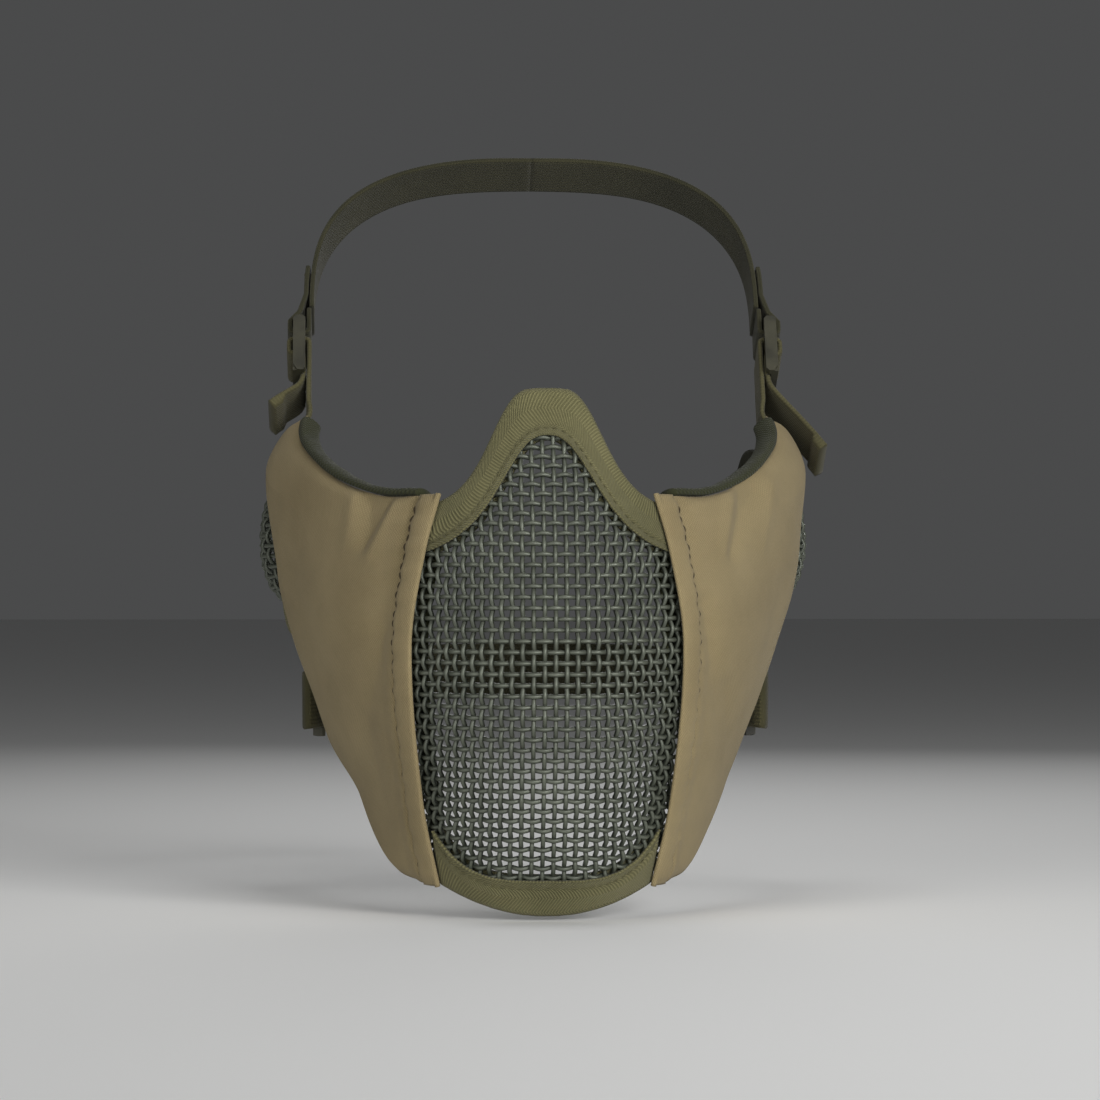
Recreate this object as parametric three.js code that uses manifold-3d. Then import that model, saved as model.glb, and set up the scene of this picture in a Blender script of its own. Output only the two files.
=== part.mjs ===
// Half face mask with ear covers: a woven steel mesh over nose and mouth, padded fabric cheek
// panels, domed mesh ear covers, and an elastic crown strap and nape strap, each drawn up by two
// ladder locks.
//
// Millimetres. +Z is up, the wearer looks along -Y, and the wearer's left is +X. The origin is the
// middle of the wearer's head, on the line between the ears. Everything on the left is built once,
// and the right is its mirror.

import * as THREE from "three";
import { mergeVertices } from "three/addons/utils/BufferGeometryUtils.js";
import Module from "manifold-3d";

const wasm = await Module();
wasm.setup();

// ----------------------------------------------------------------------------------------------------
// Driving dimensions
// ----------------------------------------------------------------------------------------------------

// The shell that every panel lies on. A level is 0 at the chin and 1 at the top of the nose arch.
const shell = {
  halfWidth: 91.8, // at the widest level, without the fabric
  depth: 128, // from the ear line to the ridge of the muzzle
  top: 46.5,
  chin: -122.5,
  ridgeRadius: 6, // rounds the ridge down the middle
  rearTuck: 6, // how far the sides turn in behind the ears
  tuckSpan: 40, // over this length, centred on the ear line
};

const wire = { thickness: 1.4 }; // two crossed wires
const ply = 1.2; // one layer of binding tape, webbing cover or folded fabric
const clearance = 0.5; // between layers that lie on each other

const seam = { halfWidth: 41, margin: 6 }; // the fabric's front edge, and the mesh tucked under it
const seamLevel = { bottom: 0.05, top: 0.796 };
const panelLevel = { bottom: 0.056, top: 0.794 };
// The panel's rear corners, from the ear cover and from the hinge line.
const rear = { topRise: 9, bottomDrop: 33, slantPast: 12.87 };
const hem = { width: 9, thickness: 1.6 };
const fold = { gap: 2.2 }; // the soft line where a cheek panel swings on the front

const nose = {
  outerBase: 6, outerRise: 40.5, outerSpread: 19.4, outerPower: 4,
  innerBase: -12, innerRise: 43, innerSpread: 18.2, innerPower: 2.5,
  padWidth: 9, padThickness: 4, padHalfSpan: 21,
};
const chin = { sideRise: 8.5, bandHeight: 12, cornerRise: 16.5, cornerPower: 4 };

const cover = { thickness: 1.4 };
const pad = { thickness: 4.5, inset: 2.5, rearInset: 28 };
const topBinding = { height: 2.4, overhang: 0.6 };

const ear = {
  length: 57, height: 66, centreHeight: -2,
  dome: 11.4, domePower: 0.32, rimWidth: 8, gap: 2, recess: 1.5,
  lean: 8, // degrees that its rear edge turns in
  sealThickness: 4.5, sealWidth: 7,
  hingeHeight: 30, hingeWidth: 9, hingeThickness: 0.9,
};
const earHingeY = -11;

const webbing = { width: 20, thickness: 1.5, sewn: 6, sewnDepth: 0.9, sewnInset: 2.5, settle: 10 };
const lock = {
  sideRoom: 0.5, length: 22, rail: 3, depth: 4.2, bar: 3, tabDepth: 2.4, tabBar: 4, standoff: 0.5,
};
const elastic = { thickness: 1.4 };

// Each strap lies in a plane that holds the X direction. tilt is the plane's angle back from upright.
// The webbing stands lean inside the panel's surface, and the lock starts lockFrom up the strap. The arch
// runs from the locks over the head, drawn in by draw at its sides, and rise high.
const crown = { name: "crown", tilt: 29, lean: 6.63, draw: 0.8, rise: 61, power: 2.75, lockFrom: 19 };
const nape = { name: "nape", tilt: 85, lean: 1.07, draw: 1, rise: 52, power: 2.3, lockFrom: 12 };

// The loose webbing ends: how long each hangs, and how far it stands away from its strap, in degrees.
const tails = {
  left: { crown: { length: 32, angle: 33 }, nape: { length: 10, angle: 42 } },
  right: { crown: { length: 15, angle: 48 }, nape: { length: 10, angle: 42 } },
};
const tailHem = { length: 5, thickness: 3 };

const colours = {
  wire: 0x6a6f62, fabric: 0x7b6f54, tape: 0x5c583c, lining: 0x33341f, foam: 0x24251c,
  webbing: 0x4a4830, elastic: 0x2e2d20, plastic: 0x35341f,
};

// ----------------------------------------------------------------------------------------------------
// Small tools
// ----------------------------------------------------------------------------------------------------

const mix = (a, b, t) => a + (b - a) * t;
const degrees = THREE.MathUtils.degToRad;
const smooth = (low, high, t) => THREE.MathUtils.smoothstep(t, low, high);
const point = (x, y, z) => new THREE.Vector3(x, y, z);
const steps = (count, from = 0, to = 1) =>
  Array.from({ length: count + 1 }, (_, i) => mix(from, to, i / count));

// A smooth curve through [at, value] pairs, read at any place and flat past both ends.
function through(pairs) {
  const slope = (i) => {
    const before = pairs[Math.max(i - 1, 0)];
    const after = pairs[Math.min(i + 1, pairs.length - 1)];
    return (after[1] - before[1]) / (after[0] - before[0]);
  };
  return (at) => {
    if (at <= pairs[0][0]) return pairs[0][1];
    if (at >= pairs.at(-1)[0]) return pairs.at(-1)[1];
    const i = pairs.findIndex((pair) => pair[0] > at) - 1;
    const width = pairs[i + 1][0] - pairs[i][0];
    const t = (at - pairs[i][0]) / width;
    return (
      pairs[i][1] * (1 + 2 * t) * (1 - t) ** 2 +
      slope(i) * width * t * (1 - t) ** 2 +
      pairs[i + 1][1] * t * t * (3 - 2 * t) +
      slope(i + 1) * width * t * t * (t - 1)
    );
  };
}

// An indexed geometry of closed faces that point out, whatever way its triangles were wound.
function closedGeometry(points, triangles) {
  const geometry = new THREE.BufferGeometry().setFromPoints(points);
  geometry.setIndex(triangles.flat());
  const merged = mergeVertices(geometry, 1e-4);
  const index = merged.index.array;
  const at = (i) => point().fromBufferAttribute(merged.attributes.position, i);
  const kept = [];
  let volume = 0;
  for (let i = 0; i < index.length; i += 3) {
    const [a, b, c] = [index[i], index[i + 1], index[i + 2]];
    if (a === b || b === c || c === a) continue;
    kept.push([a, b, c]);
    volume += at(a).dot(at(b).cross(at(c)));
  }
  merged.setIndex((volume < 0 ? kept.map(([a, b, c]) => [a, c, b]) : kept).flat());
  merged.computeVertexNormals();
  return merged;
}

// Carries a closed section, a list of [across, out] pairs, through the stations. place(station,
// across, out) is the point in space. The section runs out along one face and back along the other,
// so that its two halves pair up. A loop joins its last station to its first, and any other loft is
// capped between the pairs at both ends.
function loft(stations, section, place, loop = false) {
  const count = section.length;
  const points = stations.flatMap((at) => section.map(([across, out]) => place(at, across, out)));
  const triangles = [];
  const rings = loop ? stations.length : stations.length - 1;
  for (let i = 0; i < rings; i++) {
    const here = i * count;
    const next = ((i + 1) % stations.length) * count;
    for (let j = 0; j < count; j++) {
      const k = (j + 1) % count;
      triangles.push([here + j, next + j, next + k], [here + j, next + k, here + k]);
    }
  }
  if (!loop) {
    const last = (stations.length - 1) * count;
    for (let j = 0; j < count / 2 - 1; j++) {
      const [a, b, c, d] = [j, j + 1, count - 2 - j, count - 1 - j];
      triangles.push([a, b, c], [a, c, d]);
      triangles.push([last + a, last + c, last + b], [last + a, last + d, last + c]);
    }
  }
  return closedGeometry(points, triangles);
}

// The section of a sheet from out = low to out = high, cut into count strips across.
const slab = (count, low, high) => [
  ...steps(count).map((across) => [across, low]),
  ...steps(count, 1, 0).map((across) => [across, high]),
];
const rectangle = (width, low, high) =>
  [[-width / 2, low], [width / 2, low], [width / 2, high], [-width / 2, high]];

// A band of a given width along a path of [x, length] pairs in a strap's own plane; place puts its
// points in space.
function band(path, width, thickness, place) {
  const stations = path.map((_, i) => i);
  const along = (i) => {
    const before = path[Math.max(i - 1, 0)];
    const after = path[Math.min(i + 1, path.length - 1)];
    return new THREE.Vector2(after[0] - before[0], after[1] - before[1]).normalize();
  };
  return loft(stations, rectangle(width, -thickness / 2, thickness / 2), (i, across, out) => {
    const way = along(i);
    return place(path[i][0] + way.y * out, across, path[i][1] - way.x * out);
  });
}

// A bend about a centre from one angle to another, in degrees, as [x, length] pairs.
const bend = (x, length, radius, from, to, count = 4) =>
  steps(count, degrees(from), degrees(to)).map((a) => [
    x + radius * Math.cos(a),
    length + radius * Math.sin(a),
  ]);

function asSolid(geometry) {
  const bare = new THREE.BufferGeometry().setAttribute("position", geometry.getAttribute("position"));
  if (geometry.index) bare.setIndex(geometry.index);
  const merged = mergeVertices(bare, 1e-4);
  return new wasm.Manifold(new wasm.Mesh({
    numProp: 3,
    vertProperties: merged.attributes.position.array,
    triVerts: new Uint32Array(merged.index.array),
  }));
}

function joined(...geometries) {
  const mesh = geometries.map(asSolid).reduce((a, b) => a.add(b)).getMesh();
  const geometry = new THREE.BufferGeometry();
  geometry.setAttribute("position", new THREE.BufferAttribute(mesh.vertProperties, 3));
  geometry.setIndex(new THREE.BufferAttribute(mesh.triVerts, 1));
  geometry.computeVertexNormals();
  return geometry;
}

function mesh(name, geometry, colour, roughness = 0.9, metalness = 0) {
  const material = new THREE.MeshStandardMaterial({ color: colour, roughness, metalness });
  const made = new THREE.Mesh(geometry, material);
  made.name = name;
  return made;
}

// ----------------------------------------------------------------------------------------------------
// The shell's surface
// ----------------------------------------------------------------------------------------------------

const height = shell.top - shell.chin;
const levelOf = (z) => (z - shell.chin) / height;
const atLevel = (level) => shell.chin + level * height;

// Shares of the widest half width and of the full depth, by level.
const widthShare = through([
  [0, 0.61], [0.109, 0.641], [0.246, 0.701], [0.388, 0.8], [0.595, 0.94],
  [0.725, 0.98], [0.855, 1], [0.92, 0.95], [0.967, 0.888], [1, 0.845],
]);
const depthShare = through([
  [0, 0.773], [0.133, 0.867], [0.251, 0.938], [0.399, 0.992], [0.547, 1],
  [0.689, 0.961], [0.796, 0.898], [0.908, 0.813], [1, 0.773],
]);
const roundness = (z) => mix(1.9, 1.5, smooth(0.1, 0.75, levelOf(z)));

// Each level is half a superellipse, |x / a|^n + |y / b|^n = 1, whose point is rounded by ridgeRadius.
const plan = (z) => ({
  a: Math.hypot(shell.halfWidth * widthShare(levelOf(z)), shell.ridgeRadius) - shell.ridgeRadius,
  b: shell.depth * depthShare(levelOf(z)),
  n: roundness(z),
});

// How far ahead of the ear line the shell is, at x and z.
function depthAt(x, z) {
  const { a, b, n } = plan(z);
  const share = (Math.hypot(x, shell.ridgeRadius) - shell.ridgeRadius) / a;
  return b * (1 - Math.min(share, 1) ** n) ** (1 / n);
}

// How far out the shell is, at a depth ahead of the ear line (or behind it, below 0) and z.
function sideAt(depth, z) {
  const { a, b, n } = plan(z);
  const out = a * (1 - Math.min(Math.abs(depth) / b, 1) ** n) ** (1 / n) + shell.ridgeRadius;
  const tuck = shell.rearTuck * smooth(-shell.tuckSpan / 2, shell.tuckSpan / 2, -depth);
  return Math.sqrt(out ** 2 - shell.ridgeRadius ** 2) - tuck;
}

const onFront = (x, z) => point(x, -depthAt(x, z), z);
const onSide = (depth, z) => point(sideAt(depth, z), -depth, z);

// A point that stands out from a surface along its normal, found from a short step each way.
function proud(surface, u, v, out) {
  const step = 0.05;
  const across = surface(u + step, v).sub(surface(u - step, v));
  const up = surface(u, v + step).sub(surface(u, v - step));
  const normal = across.cross(up).normalize();
  return surface(u, v).addScaledVector(normal, out);
}
const frontPoint = (x, z, out) => proud(onFront, x, z, out);
const sidePoint = (depth, z, out) => proud((u, v) => onSide(-u, v), -depth, z, out);

// ----------------------------------------------------------------------------------------------------
// The front: mesh, bindings and nose pad
// ----------------------------------------------------------------------------------------------------

const bell = (x, base, rise, spread, power) => base + rise / (1 + Math.abs(x / spread) ** power);
const noseOuter = (x) => bell(x, nose.outerBase, nose.outerRise, nose.outerSpread, nose.outerPower);
const noseInner = (x) => bell(x, nose.innerBase, nose.innerRise, nose.innerSpread, nose.innerPower);

const seamShare = through([[0.05, 0.767], [0.222, 0.907], [0.512, 1], [0.689, 0.895], [0.796, 0.779]]);
const seamX = (z) => seam.halfWidth * seamShare(levelOf(z));
const seamTopX = seamX(atLevel(seamLevel.top));
const seamBottomX = seamX(atLevel(seamLevel.bottom));

// The depth of the point that lies a distance behind the seam, measured over the shell in short steps.
function behindSeam(z, distance) {
  const count = 8;
  let depth = depthAt(seamX(z), z);
  for (let i = 0; i < count; i++) {
    const run = (sideAt(depth - 1, z) - sideAt(depth + 1, z)) / 2;
    depth -= distance / count / Math.hypot(1, run);
  }
  return depth;
}

const chinOuter = (x) => shell.chin + chin.sideRise * (x / seamBottomX) ** 2;
const chinInner = (x) =>
  shell.chin + chin.bandHeight + chin.cornerRise * Math.abs(x / (seamBottomX + 4.5)) ** chin.cornerPower;

const tapeTurn = ply + clearance; // the folded edge of a binding, and the room to the mesh inside it
const tapeInner = wire.thickness / 2 + clearance;
const tapeOuter = tapeInner + ply;

function faceMesh() {
  const steep = (x) => (noseOuter(x + 0.1) - noseOuter(x - 0.1)) / 0.2;
  const top = (x) => noseOuter(x) - (tapeTurn + 2 * clearance) * Math.hypot(1, steep(x));
  const bottom = (x) => chinOuter(x) + tapeTurn + clearance;
  const half = wire.thickness / 2;
  const place = (level, across, out) => {
    const sideZ = mix(atLevel(seamLevel.bottom), atLevel(seamLevel.top), level);
    const x = mix(-1, 1, across) * sideAt(behindSeam(sideZ, seam.margin), sideZ);
    return frontPoint(x, mix(bottom(x), top(x), level), out);
  };
  return loft(steps(26), slab(28, -half, half), place);
}

// A tape folded over an edge: outer ply, fold and inner ply. length is the width of the band at
// this station.
const foldShare = 0.1;
const tapeRun = [0.4, 0.7, 1];
const tapeFace = (fold, out) => [
  ...tapeRun.toReversed().map((across) => [across, -out]), [fold, -out],
  [fold, out], ...tapeRun.map((across) => [across, out]),
];
const foldedTape = [...tapeFace(0, tapeOuter), ...tapeFace(foldShare, tapeInner).toReversed()];

// A folded tape between an outer edge and an inner edge, each a function that gives [x, z] at a
// station.
function binding(stations, outer, inner) {
  return loft(stations, foldedTape, (at, across, out) => {
    const [x0, z0] = outer(at);
    const [x1, z1] = inner(at);
    const share = across === foldShare ? ply / Math.hypot(x1 - x0, z1 - z0) : across;
    return frontPoint(mix(x0, x1, share), mix(z0, z1, share), out);
  });
}

const noseInnerX = (x) => x * (0.62 + 0.53 * (x / seamTopX) ** 2);
const noseBinding = () =>
  binding(steps(32, -seamTopX, seamTopX).map((x) => x * 1.06),
    (x) => [x, noseOuter(x)],
    (x) => [noseInnerX(x), noseInner(noseInnerX(x))]);

const chinBinding = () =>
  binding(steps(20, -seamBottomX, seamBottomX).map((x) => x * 1.04),
    (x) => [x, chinOuter(x)],
    (x) => [x * 1.08, chinInner(x * 1.08)]);

function nosePad() {
  const top = -(tapeOuter + 2 * clearance);
  const section = [
    [0, top], [1, top], [1.05, top - nose.padThickness * 0.5], [0.85, top - nose.padThickness],
    [0.15, top - nose.padThickness], [-0.05, top - nose.padThickness * 0.5],
  ];
  return loft(steps(14, -nose.padHalfSpan, nose.padHalfSpan), section, (x, across, out) => {
    const innerX = noseInnerX(x);
    const [dx, dz] = [innerX - x, noseInner(innerX) - noseOuter(x)];
    const share = (2 + across * nose.padWidth) / Math.hypot(dx, dz);
    return frontPoint(x + dx * share, noseOuter(x) + dz * share, out);
  });
}

// ----------------------------------------------------------------------------------------------------
// The cheek panels
// ----------------------------------------------------------------------------------------------------

// The rear edge follows the ear cover, and above it the slanting edge that the crown strap leaves
// at right angles.
const rearTop = ear.centreHeight + ear.height / 2 + rear.topRise;
const rearBottom = ear.centreHeight - ear.height / 2 - rear.bottomDrop;
const earCentreY = earHingeY + ear.length / 2;
const rearGapY = ear.gap - earHingeY;
const slantLength = webbing.width + 2 * webbing.sewnInset;
const hornY = earHingeY + rear.slantPast - slantLength * Math.cos(degrees(crown.tilt));
function rearEdgeY(z) {
  const share = Math.min(Math.abs(z - ear.centreHeight) / (ear.height / 2 + ear.gap), 1);
  const besideEar = earCentreY - (ear.length / 2 + ear.gap) * Math.sqrt(1 - share ** 2);
  const limit = z > ear.centreHeight ? hornY + (rearTop - z) / Math.tan(degrees(crown.tilt)) : earHingeY;
  return Math.min(besideEar, limit);
}

// From seam to rear edge the top edge dips and then climbs, and the bottom edge follows the jaw.
const topShare = through([[0, 0], [0.17, 0.023], [0.38, 0.184], [0.58, 0.417], [0.79, 0.66], [1, 1]]);
const bottomShare = through([[0, 0], [0.25, 0.067], [0.45, 0.289], [0.65, 0.6], [0.85, 0.844], [1, 1]]);
const cheekTop = (along) => mix(atLevel(panelLevel.top), rearTop, topShare(along));
const cheekBottom = (along) => mix(atLevel(panelLevel.bottom), rearBottom, bottomShare(along));

const panelFront = hem.width + fold.gap;
const panelLength = behindSeam(ear.centreHeight, panelFront) + rearGapY;

// along runs from the front edge to the rear edge, up from the bottom edge to the top edge.
function cheekPlace(along, up, out, trim = 0) {
  const z = mix(cheekBottom(along) + trim, cheekTop(along) - trim, up);
  const depth = mix(behindSeam(z, panelFront), -rearEdgeY(mix(rearBottom, rearTop, up)), along);
  return sidePoint(depth, z, out);
}

const coverInner = wire.thickness / 2 + clearance;
const coverOuter = coverInner + cover.thickness;
const padTop = coverInner - 2 * clearance;

const cheekCover = () =>
  loft(steps(16), slab(14, coverInner, coverOuter), (up, along, out) =>
    cheekPlace(along, up, out));

const padReach = 1 - pad.rearInset / panelLength;
const cheekPad = () =>
  loft(steps(14), slab(12, padTop - pad.thickness, padTop), (up, along, out) =>
    cheekPlace(along * padReach, up, out, pad.inset));

// The tape along the top edge stands just above the cover and the pad.
function topTape() {
  const low = padTop - pad.thickness - topBinding.overhang;
  const section = [[0, low], [1, low], [1, coverOuter], [0, coverOuter]];
  return loft(steps(14).slice(0, -1), section, (along, rise, out) => {
    const z = cheekTop(along) + clearance + rise * topBinding.height;
    const depth = mix(behindSeam(cheekTop(along), panelFront), -hornY, along);
    return sidePoint(depth, z, out);
  });
}

// The hem is the folded front edge of the cover, sewn through the mesh to the strip of lining
// behind it.
function hemStrip(low, high) {
  return loft(steps(18), slab(2, low, high), (up, across, out) => {
    const z = mix(atLevel(panelLevel.bottom), atLevel(panelLevel.top), up);
    return sidePoint(behindSeam(z, across * hem.width), z, out);
  });
}
const hemLow = tapeOuter + clearance;
const hemOutside = () => hemStrip(hemLow, hemLow + hem.thickness);
const hemInside = () => hemStrip(-hemLow - ply, -hemLow);

// ----------------------------------------------------------------------------------------------------
// The ear covers, in their own frame: X out from the head, Y back from the hinge line, Z up
// ----------------------------------------------------------------------------------------------------

const earBack = ear.length / 2 + 0.6; // from the hinge line to the middle of the cover
const around = (inset, angle) => [
  earBack + (ear.length / 2 - inset) * Math.cos(angle),
  (ear.height / 2 - inset) * Math.sin(angle),
];
const turn = (count) => steps(count, 0, 2 * Math.PI).slice(0, -1);
const earPoint = (angle, inset, out) => {
  const [y, z] = around(inset, angle);
  return point(out, y, z);
};

function earMesh() {
  const rim = tapeTurn + 0.3;
  const flat = ear.rimWidth + 1;
  const reach = ear.length / 2;
  const domeAt = (inset) => ear.dome * (1 - (1 - smooth(flat, reach, inset)) ** 2) ** ear.domePower;
  const insets = [rim, flat, ...[0.12, 0.28, 0.48, 0.72].map((t) => mix(flat, reach, t)), reach];
  const half = wire.thickness / 2;
  const section = [
    ...insets.map((inset) => [inset, domeAt(inset) - half]),
    ...insets.toReversed().map((inset) => [inset, domeAt(inset) + half]),
  ];
  return loft(turn(28), section, (angle, inset, out) => {
    const share = (inset - rim) / (reach - rim);
    const [y, z] = around(rim, angle);
    return point(out, mix(y, earBack, share), mix(z, 0, share));
  }, true);
}

function earRim() {
  const section = [
    [0, -tapeOuter], [0, tapeOuter], [ear.rimWidth, tapeOuter], [ear.rimWidth, tapeInner],
    [ply, tapeInner], [ply, -tapeInner], [ear.rimWidth, -tapeInner], [ear.rimWidth, -tapeOuter],
  ];
  return loft(turn(32), section, earPoint, true);
}

function earSeal() {
  const top = -tapeOuter - clearance;
  const low = top - ear.sealThickness;
  const edge = ear.sealWidth;
  const section = [[1, top], [edge, top], [edge, low + 1], [edge - 1.5, low], [2.5, low], [1, low + 1]];
  return loft(turn(28), section, earPoint, true);
}

// A strip of cloth, under the panel's rear edge, that the ear cover hinges on.
function earHinge() {
  const top = coverInner - 2 * clearance;
  const [middle, half] = [ear.centreHeight, ear.hingeHeight / 2];
  const stations = steps(4, middle - half, middle + half);
  return loft(stations, slab(2, top - ear.hingeThickness, top), (z, across, out) =>
    sidePoint(-earHingeY + mix(ear.hingeWidth, -0.2, across), z, out));
}

// ----------------------------------------------------------------------------------------------------
// Straps. In a strap's plane x is out from the middle of the head, length runs up the strap from
// the panel's edge, and across is the webbing's width.
// ----------------------------------------------------------------------------------------------------

// The middle of the edge that each strap leaves the left panel from.
const sewnMiddle = webbing.sewnInset + webbing.width / 2;
crown.origin = {
  y: hornY + sewnMiddle * Math.cos(degrees(crown.tilt)),
  z: rearTop - sewnMiddle * Math.sin(degrees(crown.tilt)) - clearance,
};
nape.origin = { y: earHingeY, z: rearBottom + webbing.width / 2 + 1 };
for (const strap of [crown, nape]) {
  strap.side = sideAt(-strap.origin.y, strap.origin.z) - strap.lean;
  strap.halfWidth = strap.side - strap.draw;
  strap.lockAt = strap.lockFrom + lock.length / 2;
}

function strapPlace(strap) {
  const tilt = degrees(strap.tilt);
  return (x, across, length) =>
    point(
      x,
      strap.origin.y + across * Math.cos(tilt) + length * Math.sin(tilt),
      strap.origin.z - across * Math.sin(tilt) + length * Math.cos(tilt),
    );
}

// Inside a lock the webbing keeps this far from each bar, measured to its middle.
const plyRoom = lock.standoff + webbing.thickness / 2;
const lockLow = (strap) => strap.lockAt - lock.length / 2;
const lockHigh = (strap) => strap.lockAt + lock.length / 2;
const middleBar = (strap) => [strap.lockAt - 0.5, strap.lockAt - 0.5 + lock.bar];
const lockInner = webbing.thickness / 2 + lock.standoff; // from the standing webbing's middle to the lock
const lockOuter = lockInner + lock.depth;

// The webbing that is sewn under the panel's edge and runs up to the lock.
function standingWebbing(strap) {
  const place = strapPlace(strap);
  const end = lockLow(strap) - 1;
  const stations = [...steps(3, -webbing.sewn, -1), ...steps(4, 1, webbing.settle), end];
  const section = rectangle(webbing.width, -webbing.thickness / 2, webbing.thickness / 2);
  return loft(stations, slabOf(section), (length, across, out) => {
    const flat = place(strap.side + out, across, length);
    const laid = sidePoint(-flat.y, flat.z, out - webbing.sewnDepth);
    return laid.lerp(flat, smooth(0, webbing.settle, length));
  });
}
// The same section with more points across, so that it can follow a curved panel.
const slabOf = ([[left, low], [right], [, high]]) => [
  ...steps(4, left, right).map((across) => [across, low]),
  ...steps(4, right, left).map((across) => [across, high]),
];

// The webbing inside the lock: up behind it, out round the middle bar, and back in under the tab bar.
function wrappedWebbing(strap) {
  const [barLow, barHigh] = middleBar(strap);
  const inner = strap.side;
  const outer = strap.side + lockOuter + plyRoom;
  const radius = plyRoom;
  const tailX = strap.side + webbing.thickness + lock.standoff;
  const path = [
    [inner, lockLow(strap) - 0.6],
    [inner, barHigh - 0.4],
    ...bend(inner + radius, barHigh, radius, 170, 90, 3),
    ...bend(outer - radius, barHigh, radius, 90, 0, 3),
    ...bend(outer - radius, barLow, radius, 0, -90, 3),
    ...bend(tailX + radius, barLow - 2 * radius, radius, 90, 180, 3),
    [tailX, lockLow(strap) + 0.6],
  ];
  return band(path, webbing.width, webbing.thickness, strapPlace(strap));
}

// The loose end: it leaves under the tab bar and stands away from the strap, with its end folded
// over and sewn.
function looseTail(strap, { length, angle }) {
  const startX = strap.side + webbing.thickness + lock.standoff;
  const start = lockLow(strap) - clearance;
  const reach = (distance) => [
    startX + distance * Math.sin(degrees(angle)),
    start - distance * Math.cos(degrees(angle)),
  ];
  const half = webbing.thickness / 2;
  const thick = (distance) => (distance > length - tailHem.length ? tailHem.thickness - half : half);
  const stations = [0, 3, length - tailHem.length, length - tailHem.length + 0.8, length];
  const place = strapPlace(strap);
  const [sine, cosine] = [Math.sin(degrees(angle)), Math.cos(degrees(angle))];
  return loft(stations, rectangle(webbing.width, 0, 1), (distance, across, share) => {
    const [x, up] = reach(distance);
    const out = mix(-half, thick(distance), share);
    return place(x + out * cosine, across, up + out * sine);
  });
}

// The elastic's end, looped round the lock's fixed bar and folded back over the strap.
function elasticLoop(strap) {
  const barHigh = lockHigh(strap);
  const barLow = barHigh - lock.bar;
  const room = lock.standoff + elastic.thickness / 2;
  const inner = strap.side + lockInner - room;
  const outer = strap.side + lockOuter + room;
  const start = archStart(strap);
  const overlap = elastic.thickness + clearance;
  const path = [
    [inner, start - 1],
    [inner, barLow],
    ...bend(inner + room, barLow, room, 180, 270, 3),
    ...bend(outer - room, barLow, room, -90, 0, 3),
    [outer, barHigh],
    [mix(outer, strap.halfWidth + overlap, 0.6), barHigh + 4],
    ...archPath(strap, overlap, steps(3, 0.02, 0.1)),
  ];
  return band(path, webbing.width, elastic.thickness, strapPlace(strap));
}

const archStart = (strap) => lockHigh(strap) + 6;
// Points along the arch of a strap: turn is 0 at the left lock, 1 over the middle and 2 at the
// right lock.
function archPath(strap, out, turns) {
  const power = 2 / strap.power;
  return turns.map((at) => {
    const angle = (at * Math.PI) / 2;
    return [
      Math.sign(Math.cos(angle)) * (strap.halfWidth + out) * Math.abs(Math.cos(angle)) ** power,
      archStart(strap) + (strap.rise + out) * Math.sin(angle) ** power,
    ];
  });
}

function elasticStrap(strap) {
  const path = archPath(strap, 0, steps(30, 0, 2));
  return band(path, webbing.width, elastic.thickness, strapPlace(strap));
}

// A ladder lock: two side rails, the fixed bar, the middle bar and the tab bar, which is thinner on
// the inside.
function ladderLock() {
  const half = lock.length / 2;
  const width = webbing.width + 2 * (lock.rail + lock.sideRoom);
  const railShape = new THREE.Shape([
    [0, -half + 1], [0, half - 1], [1, half], [lock.depth - 1, half], [lock.depth, half - 1],
    [lock.depth, -half + 2.5], [lock.depth - 1.5, -half], [1, -half],
  ].map(([x, y]) => new THREE.Vector2(x, y)));
  const rail = (across) => {
    const made = new THREE.ExtrudeGeometry(railShape, { depth: lock.rail, bevelEnabled: false });
    return made.translate(0, 0, across).rotateX(Math.PI / 2); // its length turns to Z and its width to -Y
  };
  const bar = (low, high, length, at) => {
    const made = new THREE.BoxGeometry(high - low, width - 1, length);
    return made.translate((low + high) / 2, 0, at + length / 2);
  };
  const fixedBar = new THREE.CylinderGeometry(lock.bar / 2, lock.bar / 2, width - 1, 12);
  return joined(
    rail(-width / 2),
    rail(width / 2 - lock.rail),
    fixedBar.rotateY(Math.PI / 12).translate(lock.depth / 2, 0, half - lock.bar / 2),
    bar(0, lock.depth, lock.bar, -0.5),
    bar(lock.depth - lock.tabDepth, lock.depth, lock.tabBar, -half),
  );
}

function placedLock(strap, name) {
  const made = mesh(name, ladderLock(), colours.plastic, 0.5);
  const middle = strapPlace(strap)(strap.side + lockInner, 0, strap.lockAt);
  made.position.copy(middle);
  made.rotation.x = -degrees(strap.tilt);
  return made;
}

// ----------------------------------------------------------------------------------------------------
// The assembly
// ----------------------------------------------------------------------------------------------------

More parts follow.
